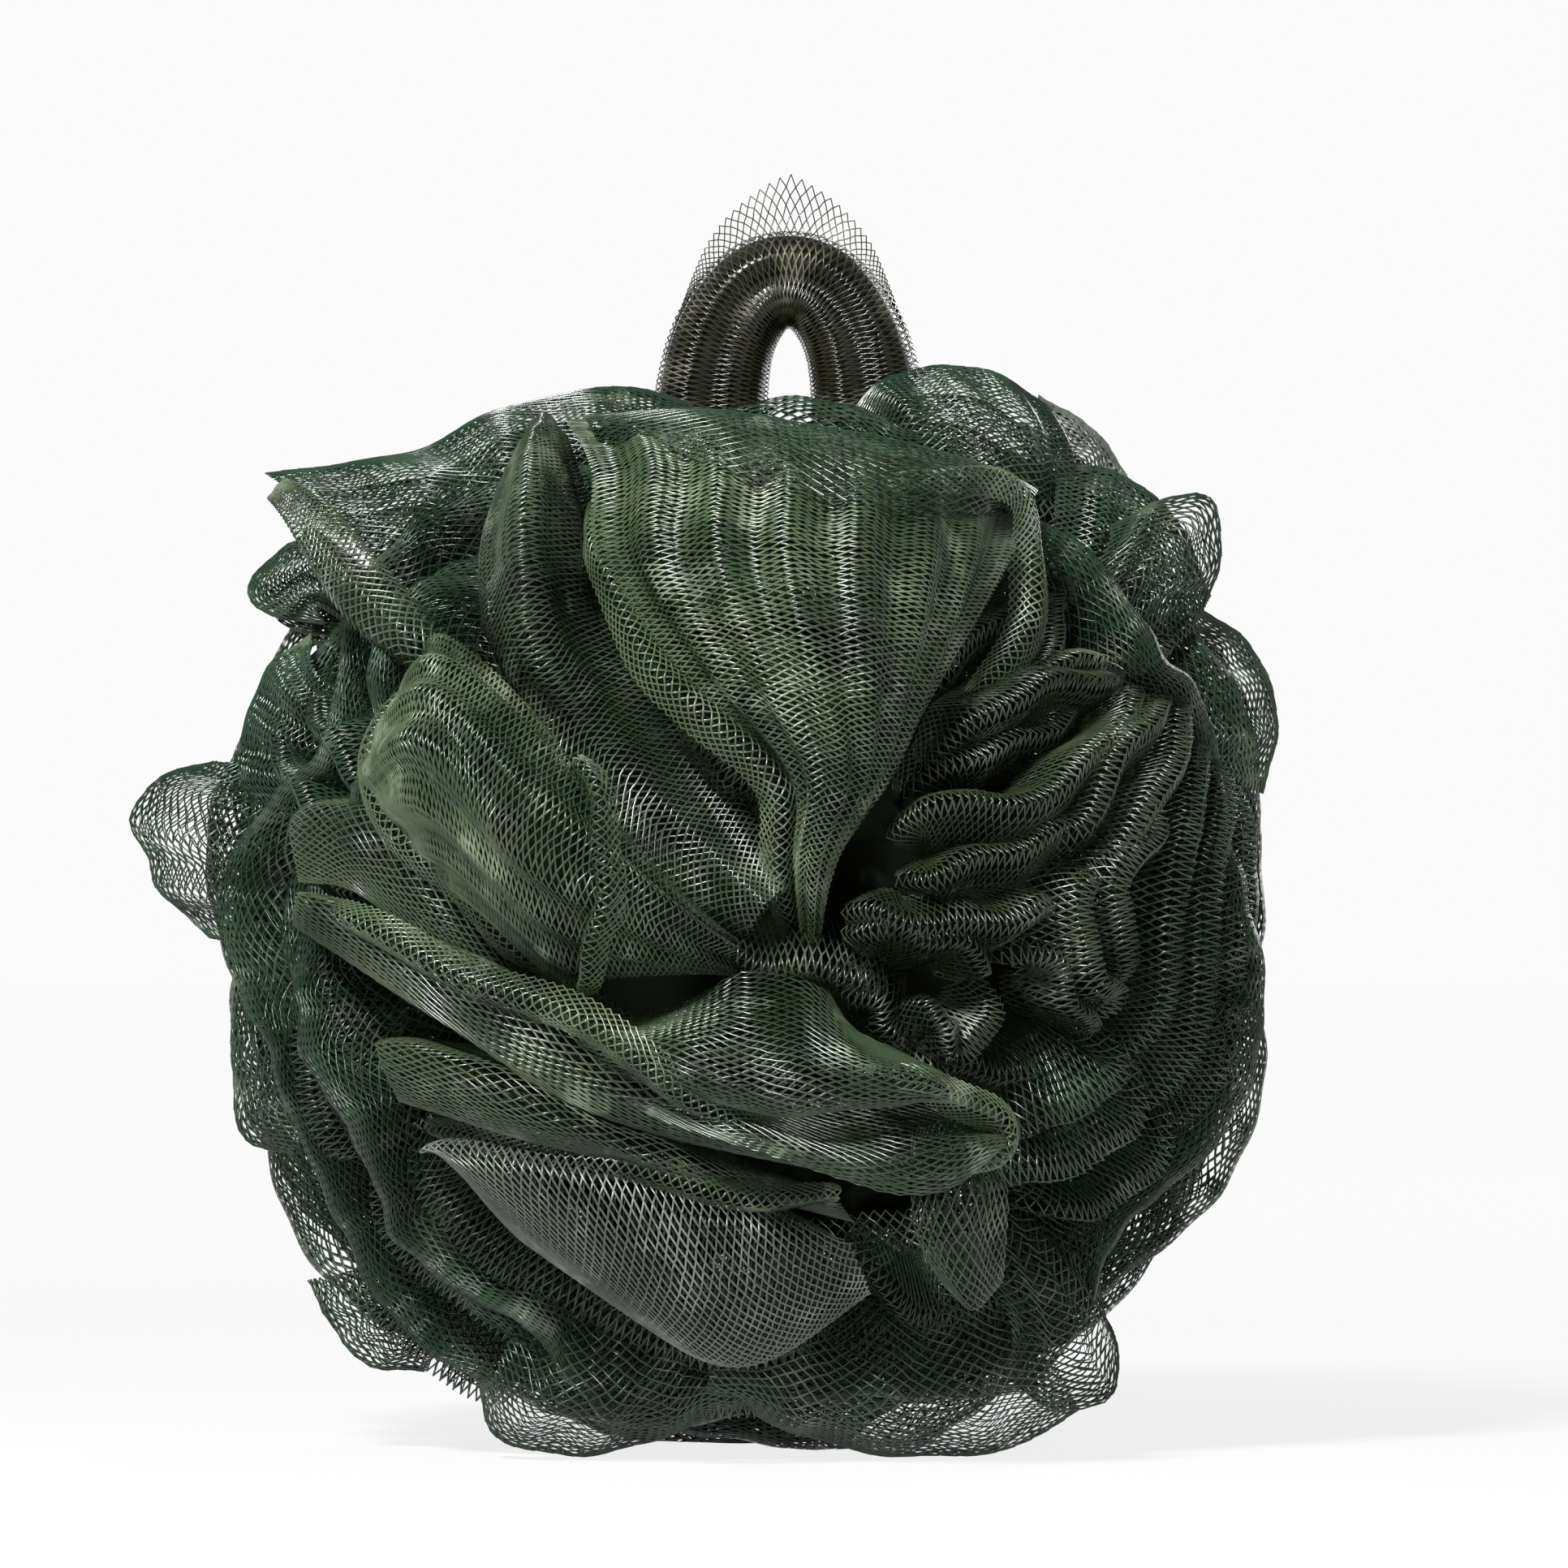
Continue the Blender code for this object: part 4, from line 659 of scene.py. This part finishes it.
# Folds between the petals.
# Parts of the same tube that bend over on themselves and lie pressed side by side. Each shows its
# rounded ridge, with the arcs of its cells across it, and falls away into the dark gather.
# Half the width in metres, then the line of the ridge in head radii from the head's centre.
FOLDS = {
    "right": {
        "grey_hood_fold": (0.0030, [(0.67, -0.20, 0.76), (0.62, -0.20, 0.67), (0.59, -0.37, 0.60),
            (0.57, -0.48, 0.51), (0.52, -0.53, 0.43)]),
        "notch_fold": (0.0030, [(0.52, -0.58, 0.49), (0.61, -0.49, 0.50), (0.70, -0.39, 0.49),
            (0.78, -0.24, 0.51), (0.84, -0.20, 0.59)]),
        "upper_pleat": (0.0036, [(0.35, -0.74, 0.32), (0.44, -0.71, 0.39), (0.54, -0.63, 0.45),
            (0.63, -0.52, 0.46), (0.75, -0.31, 0.48)]),
        "shaded_pleat": (0.0036, [(0.32, -0.73, 0.27), (0.42, -0.69, 0.32), (0.54, -0.59, 0.36),
            (0.65, -0.46, 0.42)]),
        "long_pleat": (0.0034, [(0.25, -0.82, 0.18), (0.33, -0.83, 0.22), (0.41, -0.80, 0.24),
            (0.50, -0.76, 0.24), (0.57, -0.71, 0.26), (0.63, -0.65, 0.31), (0.68, -0.57, 0.36),
            (0.74, -0.43, 0.44), (0.78, -0.32, 0.47)]),
        "under_pleat": (0.0032, [(0.28, -0.81, 0.07), (0.36, -0.82, 0.11), (0.46, -0.77, 0.14),
            (0.57, -0.70, 0.18), (0.63, -0.64, 0.23)]),
        "open_pleat": (0.0036, [(0.53, -0.72, 0.14), (0.62, -0.68, 0.19), (0.65, -0.65, 0.24),
            (0.70, -0.59, 0.33), (0.76, -0.47, 0.40), (0.82, -0.28, 0.44)]),
        "smooth_pleat": (0.0040, [(0.61, -0.66, 0.06), (0.70, -0.62, 0.16), (0.78, -0.53, 0.27),
            (0.82, -0.39, 0.39), (0.83, -0.23, 0.46)]),
        "bent_pleat": (0.0032, [(0.73, -0.56, -0.12), (0.72, -0.60, -0.04), (0.69, -0.64, 0.07),
            (0.73, -0.61, 0.13), (0.77, -0.55, 0.19), (0.79, -0.52, 0.27)]),
        "narrow_pleat": (0.0026, [(0.68, -0.60, -0.19), (0.69, -0.63, -0.11), (0.65, -0.68, -0.07),
            (0.63, -0.69, 0.00), (0.64, -0.68, 0.07), (0.68, -0.65, 0.12)]),
        "flat_pleat": (0.0034, [(0.17, -0.82, 0.04), (0.27, -0.84, 0.03), (0.35, -0.82, 0.01),
            (0.47, -0.78, 0.02), (0.61, -0.69, 0.05)]),
        "low_pleat": (0.0030, [(0.17, -0.80, 0.01), (0.27, -0.82, 0.00), (0.39, -0.78, -0.02),
            (0.45, -0.74, -0.06), (0.48, -0.71, -0.09)]),
        "near_curl": (0.0024, [(0.37, -0.75, -0.10), (0.36, -0.78, -0.17), (0.39, -0.75, -0.23),
            (0.45, -0.72, -0.19), (0.48, -0.71, -0.10)]),
        "far_curl": (0.0026, [(0.48, -0.71, -0.08), (0.53, -0.71, -0.04), (0.58, -0.69, -0.07),
            (0.62, -0.64, -0.15), (0.68, -0.56, -0.19)]),
    },
    "side": {
        "side_pleat_1": (0.0034, [(0.72, -0.51, -0.29), (0.78, -0.51, -0.16), (0.80, -0.53, 0.01),
            (0.82, -0.51, 0.16), (0.86, -0.35, 0.31), (0.88, -0.20, 0.40)]),
        "side_pleat_2": (0.0034, [(0.75, -0.37, -0.40), (0.84, -0.41, -0.23), (0.86, -0.46, -0.05),
            (0.88, -0.43, 0.12), (0.91, -0.30, 0.27), (0.93, -0.20, 0.36)]),
        "side_pleat_3": (0.0034, [(0.83, -0.22, -0.43), (0.91, -0.28, -0.25), (0.93, -0.34, -0.05),
            (0.94, -0.30, 0.15), (0.96, -0.20, 0.31)]),
        "low_right_1": (0.0034, [(0.48, -0.65, -0.40), (0.57, -0.63, -0.35), (0.68, -0.56, -0.29),
            (0.72, -0.55, -0.20)]),
        "low_right_2": (0.0036, [(0.41, -0.63, -0.50), (0.51, -0.61, -0.46), (0.62, -0.55, -0.43),
            (0.72, -0.47, -0.37), (0.78, -0.45, -0.29)]),
        "low_right_3": (0.0036, [(0.56, -0.48, -0.55), (0.65, -0.42, -0.52), (0.75, -0.35, -0.46),
            (0.83, -0.33, -0.38)]),
        "low_right_4": (0.0038, [(0.21, -0.60, -0.64), (0.35, -0.46, -0.73), (0.50, -0.38, -0.70),
            (0.62, -0.34, -0.64), (0.72, -0.28, -0.56)]),
        "low_right_5": (0.0038, [(0.14, -0.52, -0.76), (0.27, -0.40, -0.82), (0.42, -0.27, -0.82),
            (0.57, -0.20, -0.77), (0.68, -0.20, -0.70)]),
        "low_left_1": (0.0038, [(-0.33, -0.27, -0.85), (-0.42, -0.36, -0.77), (-0.54, -0.38, -0.68),
            (-0.66, -0.36, -0.58), (-0.74, -0.39, -0.46)]),
        "low_left_2": (0.0038, [(-0.24, -0.43, -0.79), (-0.35, -0.51, -0.70), (-0.47, -0.51, -0.62),
            (-0.57, -0.50, -0.53), (-0.66, -0.51, -0.41)]),
        "low_left_3": (0.0036, [(-0.41, -0.20, -0.92), (-0.54, -0.20, -0.85), (-0.66, -0.20, -0.76),
            (-0.75, -0.20, -0.65)]),
        "left_1": (0.0034, [(-0.75, -0.38, -0.46), (-0.80, -0.43, -0.35), (-0.83, -0.45, -0.23),
            (-0.84, -0.46, -0.13)]),
        "left_2": (0.0034, [(-0.71, -0.53, -0.29), (-0.75, -0.53, -0.20), (-0.78, -0.53, -0.10),
            (-0.82, -0.48, -0.00)]),
        "left_3": (0.0034, [(-0.60, -0.68, 0.19), (-0.71, -0.58, 0.27), (-0.78, -0.45, 0.36),
            (-0.83, -0.25, 0.46)]),
        "left_4": (0.0034, [(-0.74, -0.57, 0.19), (-0.81, -0.47, 0.24), (-0.87, -0.30, 0.33),
            (-0.90, -0.20, 0.43)]),
        "left_5": (0.0034, [(-0.68, -0.64, 0.04), (-0.75, -0.57, 0.09), (-0.81, -0.49, 0.15),
            (-0.87, -0.40, 0.22)]),
    },
    "deep": {
        "hollow_fold_1": (0.0030, [(0.09, -0.75, 0.19), (0.02, -0.75, 0.27), (-0.06, -0.75, 0.33),
            (-0.10, -0.73, 0.39)]),
        "hollow_fold_2": (0.0030, [(-0.06, -0.76, -0.04), (0.06, -0.75, -0.07), (0.18, -0.75, -0.08),
            (0.27, -0.72, -0.14)]),
        "hollow_fold_3": (0.0032, [(0.27, -0.70, -0.28), (0.36, -0.69, -0.25), (0.47, -0.65, -0.26),
            (0.57, -0.58, -0.28)]),
        "hollow_fold_4": (0.0030, [(0.15, -0.73, -0.09), (0.24, -0.73, -0.14), (0.29, -0.71, -0.23)]),
        "hollow_fold_5": (0.0030, [(0.30, -0.65, 0.43), (0.39, -0.59, 0.51), (0.50, -0.43, 0.60),
            (0.57, -0.20, 0.69)]),
        "hollow_fold_6": (0.0030, [(-0.54, -0.66, -0.07), (-0.42, -0.74, -0.14),
            (-0.24, -0.78, -0.20)]),
        "bottom_fold_1": (0.0038, [(-0.42, -0.50, -0.62), (-0.20, -0.52, -0.76), (0.0, -0.52, -0.80),
            (0.20, -0.50, -0.76)]),
        "bottom_fold_2": (0.0038, [(-0.25, -0.42, -0.86), (-0.05, -0.44, -0.89), (0.12, -0.42, -0.88)]),
        "hollow_fold_7": (0.0030, [(-0.54, -0.47, 0.51), (-0.48, -0.47, 0.57), (-0.51, -0.31, 0.67),
            (-0.48, -0.20, 0.81)]),
    },
    "cuffs": {
        "fan_cuff": (0.0024, [(-0.28, -0.57, 0.81), (-0.26, -0.71, 0.67), (-0.19, -0.78, 0.52),
            (-0.08, -0.81, 0.41), (0.05, -0.81, 0.27), (0.07, -0.76, 0.12), (0.10, -0.66, -0.04)]),
        "fan_edge_cuff": (0.0024, [(0.30, -0.72, 0.85), (0.44, -0.62, 0.84), (0.515, -0.54, 0.80),
            (0.54, -0.50, 0.70), (0.53, -0.53, 0.60), (0.49, -0.58, 0.50), (0.43, -0.64, 0.42)]),
        "lip_cuff": (0.0018, [(0.20, -0.95, -0.26), (0.34, -0.93, -0.28), (0.43, -0.89, -0.31),
            (0.475, -0.85, -0.36), (0.46, -0.84, -0.41), (0.38, -0.88, -0.435), (0.27, -0.91, -0.43)]),
        "scoop_rib": (0.0013, [(-0.31, -0.92, 0.32), (-0.265, -0.95, 0.23), (-0.26, -0.955, 0.08),
            (-0.28, -0.91, -0.04), (-0.32, -0.82, -0.12)]),
        "scoop_cuff": (0.0022, [(-0.59, -0.61, 0.49), (-0.68, -0.69, 0.37), (-0.69, -0.72, 0.29),
            (-0.63, -0.76, 0.19), (-0.54, -0.79, 0.10), (-0.42, -0.78, -0.02), (-0.33, -0.75, -0.11)]),
        "band_cuff": (0.0020, [(-0.82, -0.54, 0.06), (-0.71, -0.68, 0.01), (-0.54, -0.79, -0.07),
            (-0.33, -0.88, -0.15), (-0.10, -0.92, -0.29), (0.12, -0.88, -0.43)]),
        "panel_cuff": (0.0018, [(-0.60, -0.62, -0.37), (-0.41, -0.77, -0.40), (-0.18, -0.83, -0.44),
            (0.05, -0.80, -0.49), (0.18, -0.75, -0.50)]),
    },
}
FOLD_DEPTH = {"right": 0.0095, "side": 0.0095, "deep": 0.008, "cuffs": 0.0024}
FOLD_CELL = {
    "right": (0.0009, 0.0024),
    "side": (0.001, 0.0022),
    "deep": (0.0011, 0.0026),
    "cuffs": (0.0012, 0.0009),
}
# Which copy of the green strand each group of folds takes; the shaded and edge copies are painted shade
FOLD_SHADING = {
    "right": SHADED_STRAND,
    "side": EDGE_SHADED_STRAND,
    "deep": SHADED_STRAND,
    "cuffs": GREEN_STRAND,
}
END_SINK = 0.006
FOLD_CURVE = 1.3
FOLD_STEPS = 61


def bent_over(ridge, half_width, depth):
    """The sheet that bends over a ridge: rows across it, columns along it."""
    line = smooth_line(HEAD_CENTRE + HEAD_RADIUS * np.array(ridge), FOLD_STEPS)
    t = np.linspace(0, 1, FOLD_STEPS)
    ahead = np.gradient(line, axis=0)
    ahead /= np.linalg.norm(ahead, axis=1, keepdims=True)
    out = line - HEAD_CENTRE
    side = np.cross(ahead, out)
    side /= np.linalg.norm(side, axis=1, keepdims=True)
    out = np.cross(side, ahead)
    line = line - out * (min(END_SINK, depth) * (1 - np.sin(math.pi * t)) ** 3)[:, None]
    line = line + side * (0.0005 * np.sin(math.tau * (2.5 * t + chance.uniform())))[:, None]
    taper = 0.2 + 0.8 * np.sin(math.pi * t) ** 0.5
    lean = chance.uniform(-0.3, 0.3)
    share = np.linspace(-1, 1, 201)
    fall = depth * np.gradient(np.abs(share) ** FOLD_CURVE)
    length = np.cumsum(np.hypot(half_width * np.gradient(share), fall))
    share = np.interp(np.linspace(length[0], length[-1], 41), length, share)
    down = depth * np.abs(share[:, None]) ** FOLD_CURVE * taper
    over = half_width * share[:, None] * taper + lean * down
    return line + side * over[..., None] - out * down[..., None]


fold_sheets, fold_pieces = [], []
for group, folds in FOLDS.items():
    fold_rods = []
    for half_width, ridge in folds.values():
        grid = bent_over(ridge, half_width, FOLD_DEPTH[group])
        normal = facing(grid)
        wall = min(FOLD, 0.5 * FOLD_DEPTH[group]) / 2
        wide, tall = FOLD_CELL[group]
        fold_rods.append(strand_net(grid + normal * wall, normal, (wide, tall)))
        fold_sheets.append(sheet_net((grid - normal * wall)[::2, ::3], (wide * 1.1, tall)))
    piece = make_piece(group + "_fold_strands", fold_rods, FOLD_SHADING[group])
    fold_pieces.append(piece)
fold_far_walls = make_piece("fold_far_walls", fold_sheets, FAR_SHADED_SHEET, sheet=True)

# Heart of the gather.
# Where the netting is drawn together and tied it lies in so many layers that no light comes back.
# It is shown as one dark body of painted shade, finely ribbed, that closes the view between the petals.
HEART_RADIUS = 0.9 * CORE_RADIUS
HEART_RIBS = 40
RIB_RISE = 0.03
bpy.ops.object.select_all(action="DESELECT")
bpy.ops.mesh.primitive_uv_sphere_add(
    segments=96, ring_count=40, radius=HEART_RADIUS, location=tuple(HEAD_CENTRE)
)
heart = bpy.context.object
heart.name = "gathered_heart"
bpy.ops.object.transform_apply(location=True, rotation=True, scale=True)
for vertex in heart.data.vertices:
    away = np.array(vertex.co) - HEAD_CENTRE
    local = to_gather.T @ away
    turn = math.atan2(local[1], local[0])
    rib = RIB_RISE * math.sin(HEART_RIBS * turn + 6 * local[2] / CORE_RADIUS)
    vertex.co = Vector(HEAD_CENTRE + away * (1 + rib))
    vertex.co.z = max(vertex.co.z, 0.004)
for face in heart.data.polygons:
    face.use_smooth = True
# Near black: painted shade for the depths of the gather
HEART_SHADE = net_material(
    "heart shade", (0.004, 0.005, 0.003), (0.012, 0.016, 0.01), (0.02, 0.024, 0.018), 0.3, gleam=0.0
)
heart.data.materials.append(HEART_SHADE)
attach(heart, "root")

# Hanging loop.
# A strip of the netting in olive brown, rolled lengthwise into a soft cord and bent to an arch with
# a narrow eye. Its free edge stands up along the top as a thin fin.
ROLL_WIDTH = 0.0146
ROLL_DEPTH = 0.0146
ROLL_GROOVE = 0.0019
ROLL_TOP = 0.8
EYE_WIDTH = 0.0046
LOOP_HEIGHT = 0.035
LOOP_RIGHT = 0.0052
LOOP_SEAT = 0.021
FIN_HEIGHT = 0.0073
FIN_START, FIN_PEAK, FIN_END = 0.31, 0.5, 0.68
FIN_POINT = 2.6
FIN_ROOT = 0.93
FIN_BOW = 0.0012
WRAP_SCALE, INNER_SCALE = 0.985, 0.9
# Cell across and along, and half the width of a strand
ROLL_CELL = (0.00066, 0.0032)
ROLL_STRAND = 0.00009
INNER_CELL = (0.0008, 0.0014)
FIN_CELL = (0.0008, 0.0009)
FIN_STRAND = 0.00007
OLIVE_STRAND = net_material(
    "olive strand", (0.017, 0.017, 0.008), (0.038, 0.037, 0.02), (0.13, 0.127, 0.09), 0.5
)
LOOP_STEPS = 121
half = (EYE_WIDTH + ROLL_WIDTH) / 2
foot = HEAD_CENTRE + np.array((LOOP_RIGHT, 0, HEAD_RADIUS - LOOP_SEAT))
# One leg of the arch, in shares of its half width and its height
side_shares = [(0.88, 0.0), (0.98, 0.25), (1.0, 0.52), (0.84, 0.78), (0.46, 0.95)]
shares = [(-w, h) for w, h in side_shares] + [(0, 1)] + [(w, h) for w, h in reversed(side_shares)]
arch = smooth_line([foot + np.array((w * half, 0, h * LOOP_HEIGHT)) for w, h in shares], LOOP_STEPS)
ahead = np.gradient(arch, axis=0)
ahead /= np.linalg.norm(ahead, axis=1, keepdims=True)
out = np.cross(ahead, (0, 1, 0))
out /= np.linalg.norm(out, axis=1, keepdims=True)
share = np.linspace(0, 1, LOOP_STEPS)
size = 1 - (1 - ROLL_TOP) * np.sin(math.pi * share) ** 4


def roll_grid(scale):
    """Rows round the roll, columns along it."""
    rows = []
    for turn in np.linspace(0, math.tau, 49):
        groove = ROLL_GROOVE * abs(math.sin(turn)) ** 20
        ripple = 1 + 0.012 * np.sin(9 * turn + 21 * share)
        wide = ROLL_WIDTH / 2 * size * math.cos(turn) * scale * ripple
        deep = (ROLL_DEPTH / 2 * size - groove) * math.sin(turn) * scale * ripple
        rows.append(arch + out * wide[:, None] + np.array((0, 1, 0)) * deep[:, None])
    return np.array(rows)


def away_from(grid, centre):
    """Unit normals of a tube's grid, pointing away from its middle line."""
    normal = grid - centre
    return normal / np.linalg.norm(normal, axis=2, keepdims=True)


outer = roll_grid(WRAP_SCALE)
inner = roll_grid(INNER_SCALE)
wrap = strand_net(outer, away_from(outer, arch), ROLL_CELL, radius=ROLL_STRAND)
loop_strands = make_piece("loop_strands", [wrap], OLIVE_STRAND)
# The inside of the roll: a darker copy of the olive netting, painted shade
OLIVE_SHADED_SHEET = net_material(
    "olive shaded sheet", (0.006, 0.006, 0.003), (0.02, 0.02, 0.01), (0.04, 0.04, 0.026), 0.3, gleam=0.2
)
roll_sheets = [sheet_net(inner, INNER_CELL)]
loop_roll = make_piece("loop_roll", roll_sheets, OLIVE_SHADED_SHEET, sheet=True)
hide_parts("hanging_loop")

share_fin = np.linspace(FIN_START, FIN_END, 61)
from_peak = np.abs(share_fin - FIN_PEAK) / ((FIN_END - FIN_START) / 2)
rise = FIN_HEIGHT * np.clip(1 - from_peak, 0, 1) ** FIN_POINT
fin_rows = []
for reach in np.linspace(0, 1, 13):
    near = np.stack([np.interp(share_fin, share, arch[:, k]) for k in range(3)], axis=1)
    way = np.stack([np.interp(share_fin, share, out[:, k]) for k in range(3)], axis=1)
    size_here = np.interp(share_fin, share, size)
    far = ROLL_WIDTH / 2 * size_here * FIN_ROOT + rise * reach
    bow = FIN_BOW * np.sin(math.pi * reach) * np.sin(14 * share_fin)
    fin_rows.append(near + way * far[:, None] + np.array((0, 1, 0)) * bow[:, None])
fin_grid = np.array(fin_rows)
fin_out = np.zeros_like(fin_grid)
fin_out[..., 1] = -1
fin_net = strand_net(fin_grid, fin_out, FIN_CELL, radius=FIN_STRAND)
loop_edge = make_piece("loop_free_edge", [fin_net], OLIVE_STRAND)

# Tie.
# A dark cord pulled tight round the neck of the gather, behind the swirl of the petals. It is the
# solid itself, with a dark finish.
CORD = net_material("dark cord", (0.012, 0.013, 0.01), (0.03, 0.032, 0.026), (0.05, 0.05, 0.045), 0.2)
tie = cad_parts["tie_cord"]
tie.data.materials.clear()
tie.data.materials.append(CORD)

# Studio.
# A white paper floor that fades into white air, one soft key lamp high at the front left, a weak
# fill at the front right and another behind.
BACKDROP_LEVEL = 0.962
AIR_LEVEL = 0.12
GLOSSY_LEVEL = 0.35
bpy.ops.object.select_all(action="DESELECT")
bpy.ops.mesh.primitive_plane_add(size=6, location=(0, 0, 0))
floor = bpy.context.object
floor.name = "floor"
paper = bpy.data.materials.new("white paper")
paper.use_nodes = True
tree = paper.node_tree
tree.nodes.clear()
plain = tree.nodes.new("ShaderNodeBsdfDiffuse")
plain.inputs["Color"].default_value = (0.8, 0.8, 0.8, 1)
glow = tree.nodes.new("ShaderNodeEmission")
glow.inputs["Color"].default_value = (BACKDROP_LEVEL, BACKDROP_LEVEL, BACKDROP_LEVEL, 1)
rays = tree.nodes.new("ShaderNodeLightPath")
seen = math_node(tree, "MAXIMUM", rays.outputs["Is Camera Ray"], rays.outputs["Is Glossy Ray"])
seen = math_node(tree, "MAXIMUM", seen, rays.outputs["Is Transmission Ray"])
mix = tree.nodes.new("ShaderNodeMixShader")
where = tree.nodes.new("ShaderNodeTexCoord").outputs["Object"]
distance = tree.nodes.new("ShaderNodeVectorMath")
distance.operation = "LENGTH"
tree.links.new(where, distance.inputs[0])
fade = tree.nodes.new("ShaderNodeMapRange")
link(tree, node=fade, Value=distance.outputs["Value"], From_Min=0.1, From_Max=0.6, To_Min=0.86, To_Max=0.99)
share_seen = math_node(tree, "MULTIPLY", seen, fade.outputs["Result"])
link(tree, node=mix, i0=share_seen, i1=plain.outputs[0], i2=glow.outputs[0])
surface = tree.nodes.new("ShaderNodeOutputMaterial")
tree.links.new(mix.outputs[0], surface.inputs["Surface"])
floor.data.materials.append(paper)

world = bpy.data.worlds.new("white air")
bpy.context.scene.world = world
world.use_nodes = True
tree = world.node_tree
tree.nodes.clear()
rays = tree.nodes.new("ShaderNodeLightPath")
seen = math_node(tree, "MAXIMUM", rays.outputs["Is Camera Ray"], rays.outputs["Is Transmission Ray"])
seen = math_node(tree, "MULTIPLY", seen, BACKDROP_LEVEL)
way = tree.nodes.new("ShaderNodeSeparateXYZ")
tree.links.new(tree.nodes.new("ShaderNodeTexCoord").outputs["Generated"], way.inputs[0])
backdrop = stretch(tree, way.outputs["Y"], -0.3, 0.3)
mirrored = math_node(tree, "MULTIPLY", rays.outputs["Is Glossy Ray"], backdrop)
level = math_node(tree, "MULTIPLY_ADD", mirrored, GLOSSY_LEVEL, AIR_LEVEL)
air = tree.nodes.new("ShaderNodeBackground")
link(tree, node=air, Color=(1, 1, 1, 1), Strength=math_node(tree, "MAXIMUM", seen, level))
surface = tree.nodes.new("ShaderNodeOutputWorld")
tree.links.new(air.outputs[0], surface.inputs["Surface"])


def soft_lamp(name, place, size, power, aim=(0, 0, 0.07)):
    """A round area lamp that shines at the object."""
    lamp = bpy.data.lights.new(name, "AREA")
    lamp.shape = "DISK"
    lamp.size = size
    lamp.energy = power
    holder = bpy.data.objects.new(name, lamp)
    holder.location = place
    holder.rotation_euler = (Vector(aim) - Vector(place)).to_track_quat("-Z", "Y").to_euler()
    bpy.context.scene.collection.objects.link(holder)


soft_lamp("key", (-0.28, -0.6, 0.66), 0.15, 14)
soft_lamp("fill", (0.6, -0.6, 0.3), 0.5, 0.8)
soft_lamp("back fill", (0.5, 0.9, 0.35), 0.5, 5)

# A long lens, far enough off that the photo's width spans FRAME_WIDTH at FRAME_DEPTH
LENS = 250
SENSOR = 36
FRAME_WIDTH = 0.1849
FRAME_DEPTH = -0.022
camera = bpy.data.cameras.new("camera")
camera.lens = LENS
camera.sensor_width = SENSOR
camera.clip_start = 0.01
viewpoint = bpy.data.objects.new("camera", camera)
viewpoint.location = (0.0095, FRAME_DEPTH - FRAME_WIDTH * LENS / SENSOR, 0.0793)
viewpoint.rotation_euler = (math.pi / 2, 0, 0)
bpy.context.scene.collection.objects.link(viewpoint)
bpy.context.scene.camera = viewpoint
bpy.context.scene.view_settings.view_transform = "Standard"
bpy.context.scene.cycles.transparent_max_bounces = 16
